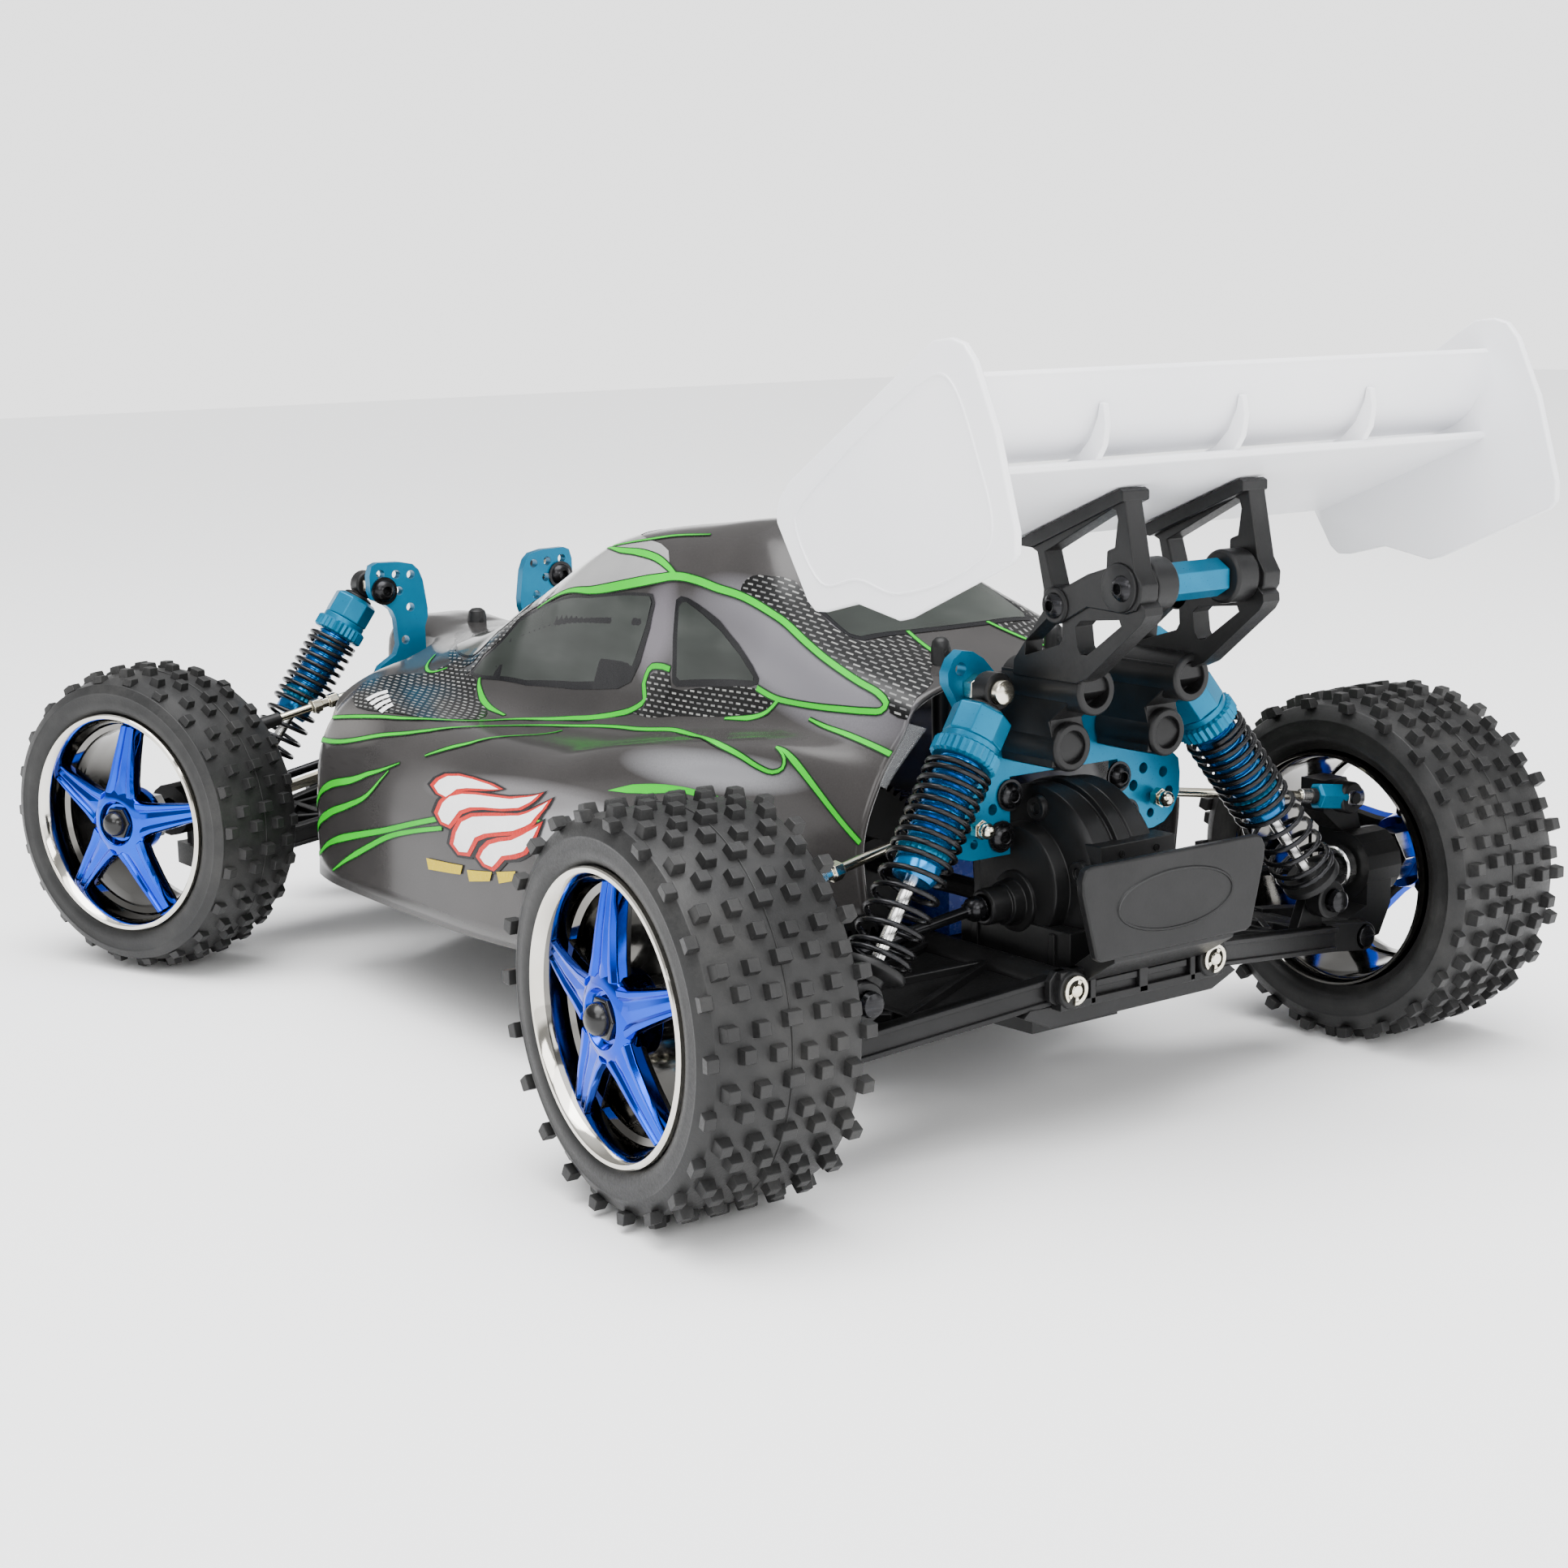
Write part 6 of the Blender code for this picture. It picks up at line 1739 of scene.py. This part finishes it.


# Silver patches: partly airbrushed fades, partly painted highlights, such as on the C-pillar, the
# fender top and the side band.
# centre (x, |y|, z), reach, strength, rise per millimetre of x, colour
SILVER_FADES_AND_HIGHLIGHTS = [
    ((-84, 35, 103), (46, 16, 13), 1.6, 0.28, (0.15, 0.145, 0.16)),
    ((-50, 36, 104), (26, 9, 14), 0.9, 0, (0.10, 0.095, 0.105)),
    ((-27, 36, 104), (9, 9, 16), 1.2, 0, (0.12, 0.11, 0.125)),
    ((-82, 58, 79), (36, 14, 5), 1.2, 0, (0.20, 0.20, 0.21)),
    ((-62, 74, 58), (40, 22, 11), 2.2, 0.12, (0.26, 0.26, 0.265)),
    ((-20, 74, 66), (46, 12, 5), 1.2, -0.08, (0.13, 0.125, 0.128)),
    ((78, 68, 71), (26, 14, 6), 1, 0, (0.11, 0.105, 0.10)),
    ((78, 30, 100), (50, 26, 10), 1, -0.2, (0.14, 0.138, 0.14)),
]


def carbon_material():
    """Black lacquer printed with rows of small grey dashes."""
    material = new_material("carbon_print", (0.01, 0.01, 0.01), 0.24, specular=0.25)
    nodes = Nodes(material)
    x, y, z = nodes.axes()
    down = nodes.math("ADD", nodes.math("ABSOLUTE", y), nodes.math("MULTIPLY", z, -1.15))
    joined = nodes.add("ShaderNodeCombineXYZ")
    nodes.link(nodes.math("ADD", x, nodes.math("MULTIPLY", down, 0.35)), joined.inputs[0])
    nodes.link(down, joined.inputs[1])
    brick = nodes.add("ShaderNodeTexBrick")
    brick.offset = 0.5
    brick.inputs["Scale"].default_value = 1.0
    brick.inputs["Brick Width"].default_value = 3.2 * MM
    brick.inputs["Row Height"].default_value = 2.0 * MM
    brick.inputs["Mortar Size"].default_value = 0.68 * MM
    brick.inputs["Mortar Smooth"].default_value = 0.05
    brick.inputs["Color1"].default_value = (0.22, 0.22, 0.21, 1)
    brick.inputs["Color2"].default_value = (0.09, 0.09, 0.09, 1)
    brick.inputs["Mortar"].default_value = (0.003, 0.003, 0.003, 1)
    nodes.link(joined.outputs[0], brick.inputs["Vector"])
    nodes.colour(brick.outputs["Color"])
    return material


def glossy_print(name, dark, light, rough=(0.2, 0.32)):
    """Printed paint under the clear shell."""
    return speckled(name, dark, light, rough, coat=0.03, specular=0.12, scale=700, bump=0.03,
                    patches=30)


def pane_material():
    """Smoke-tinted clear plastic: grey-green, with soft reflections painted in as lighter streaks,
    over the painted shade of a darker cabin behind.
    """
    material = new_material("smoked_pane", (0.10, 0.11, 0.105), 0.1, specular=0.12)
    nodes = Nodes(material)
    shade = nodes.noise(22, 3, 0.5)
    reflection_streak = nodes.noise(1, 3, 0.5, nodes.mapped((20, 20, 90), (0.3, 0.5, 0)))
    both_noises = nodes.math("MULTIPLY", nodes.math("ADD", shade, reflection_streak), 0.5)
    nodes.colour(nodes.ramp(both_noises, [(0.34, (0.012, 0.014, 0.012)),
                                          (0.52, (0.026, 0.030, 0.027)),
                                          (0.7, (0.055, 0.060, 0.055))]))
    return material


BODY_PAINT = body_paint_material()
CARBON = carbon_material()
PANE = pane_material()
ROOF_PAINT = speckled("roof_silver", (0.34, 0.34, 0.34), (0.46, 0.46, 0.45), (0.16, 0.26),
                      metallic=0.35,
                      coat=0.9, scale=2000, bump=0.05, patches=25)
GREEN = glossy_print("lime_paint", (0.003, 0.38, 0.006), (0.007, 0.48, 0.01), (0.3, 0.42))
GREEN_EDGE = glossy_print("stripe_shadow", (0.006, 0.02, 0.008), (0.012, 0.03, 0.012))
EDGE_BLACK = glossy_print("print_black", (0.004, 0.004, 0.005), (0.008, 0.008, 0.009))
DECAL_WHITE = glossy_print("print_white", (0.80, 0.80, 0.80), (0.88, 0.88, 0.88))
DECAL_RED = glossy_print("print_red", (0.40, 0.008, 0.006), (0.52, 0.014, 0.008))
DECAL_YELLOW = glossy_print("print_yellow", (0.46, 0.33, 0), (0.56, 0.42, 0))


def clear_material():
    """The unpainted clear plastic of the shell's rear flange."""
    material = new_material("clear_plastic", (0.30, 0.31, 0.32), 0.08, coat=0.4, alpha=0.16)
    nodes = Nodes(material)
    nodes.roughness(nodes.ramp(nodes.noise(300, 2), [(0.3, 0.06), (0.7, 0.14)]))
    return material


CLEAR = clear_material()


# ---------------------------------------------------------------- stage and camera

def build_stage():
    """A white floor, and a world that is bright at the horizon and grey overhead."""
    bm = bmesh.new()
    half = 4000.0
    corners = ((-half, -half), (half, -half), (half, half), (-half, half))
    bm.faces.new([bm.verts.new((x, y, -0.05)) for x, y in corners])
    floor = mesh_object("studio_floor", bm)
    floor.scale = (MM, MM, MM)
    material = new_material("studio_white", (0.93, 0.93, 0.93), 0.8, specular=0.1)
    floor.data.materials.append(material)
    world = bpy.data.worlds.new("studio")
    bpy.context.scene.world = world
    world.use_nodes = True
    tree = world.node_tree
    background = tree.nodes["Background"]
    coords = tree.nodes.new("ShaderNodeTexCoord")
    split = tree.nodes.new("ShaderNodeSeparateXYZ")
    ramp = tree.nodes.new("ShaderNodeValToRGB")
    tree.links.new(coords.outputs["Generated"], split.inputs[0])
    tree.links.new(split.outputs[2], ramp.inputs["Fac"])
    ramp.color_ramp.elements[0].position = 0.0
    ramp.color_ramp.elements[0].color = (1, 1, 1, 1)
    ramp.color_ramp.elements[1].position = 0.95
    ramp.color_ramp.elements[1].color = (0.62, 0.63, 0.65, 1)
    for position, level in ((0.125, 1), (0.24, 0.16), (0.6, 0.22)):
        stop = ramp.color_ramp.elements.new(position)
        stop.color = (level, level, level, 1)
    tree.links.new(ramp.outputs[0], background.inputs["Color"])
    background.inputs["Strength"].default_value = 2.4


def add_light(name, place, target, size, power):
    """A rectangular light aimed at a point."""
    data = bpy.data.lights.new(name, "AREA")
    data.shape = "RECTANGLE"
    data.size, data.size_y = size
    data.energy = power
    light = link_object(name, data)
    light.location = place
    aim = Vector(target) - Vector(place)
    light.rotation_euler = aim.to_track_quat("-Z", "Y").to_euler()


def build_lights():
    add_light("overhead", (-0.1, 0.1, 1.3), (0, 0, 0.08), (1.3, 0.9), 20)
    add_light("key_left", (-0.9, 1.2, 0.9), (0, 0, 0.07), (0.8, 0.6), 9)
    data = bpy.data.lights.new("broad_top", "SUN")
    data.energy = 4.0
    data.angle = math.radians(60)
    top = link_object("broad_top", data)
    top.rotation_euler = (math.radians(-14), math.radians(-10), 0)
    add_light("rear_fill", (-1.3, -0.7, 0.6), (-0.1, 0, 0.07), (0.7, 0.7), 6)
    add_light("rear_low", (-1.7, 0.35, 0.75), (-0.12, 0.02, 0.05), (0.9, 0.6), 13)


CAMERA_PLACE = (-565.2, 384.8, 185.5)
CAMERA_AZIMUTH = math.radians(-35.68)
CAMERA_ELEVATION = math.radians(-10.72)
CAMERA_ROLL = math.radians(-1.31)
CAMERA_LENS = 59.4


def build_camera():
    """The photograph's viewpoint: behind the car, to its left, just above the wing."""
    forward = Vector((math.cos(CAMERA_ELEVATION) * math.cos(CAMERA_AZIMUTH),
                      math.cos(CAMERA_ELEVATION) * math.sin(CAMERA_AZIMUTH),
                      math.sin(CAMERA_ELEVATION)))
    right = forward.cross(Vector((0, 0, 1))).normalized()
    up = right.cross(forward)
    level_right = right * math.cos(CAMERA_ROLL) + up * math.sin(CAMERA_ROLL)
    level_up = -right * math.sin(CAMERA_ROLL) + up * math.cos(CAMERA_ROLL)
    data = bpy.data.cameras.new("camera")
    data.lens = CAMERA_LENS
    data.sensor_width = 36.0
    data.clip_start = 0.01
    camera = link_object("camera", data)
    rotation = Matrix((level_right, level_up, -forward)).transposed().to_4x4()
    place = (Vector(CAMERA_PLACE) + Vector((MIDDLE, 0, 0))) * MM
    camera.matrix_world = Matrix.Translation(place) @ rotation
    bpy.context.scene.camera = camera


build_camera()
build_stage()
build_lights()
CORNERS = [(f"{end}_{name}", side) for end in ("front", "rear")
           for name, side in SIDES]
for corner_name, corner_side in CORNERS:
    build_wheel(corner_name, corner_side)
    build_suspension(corner_name, corner_side)
build_towers()
build_wing()
build_wing_mounts()
build_rear_gearbox()
build_rear_bumper()
build_front_gearbox()
build_front_bumper()
build_shell_skin()
build_paint()
build_decal()
build_shell_hardware()
dress_frame()
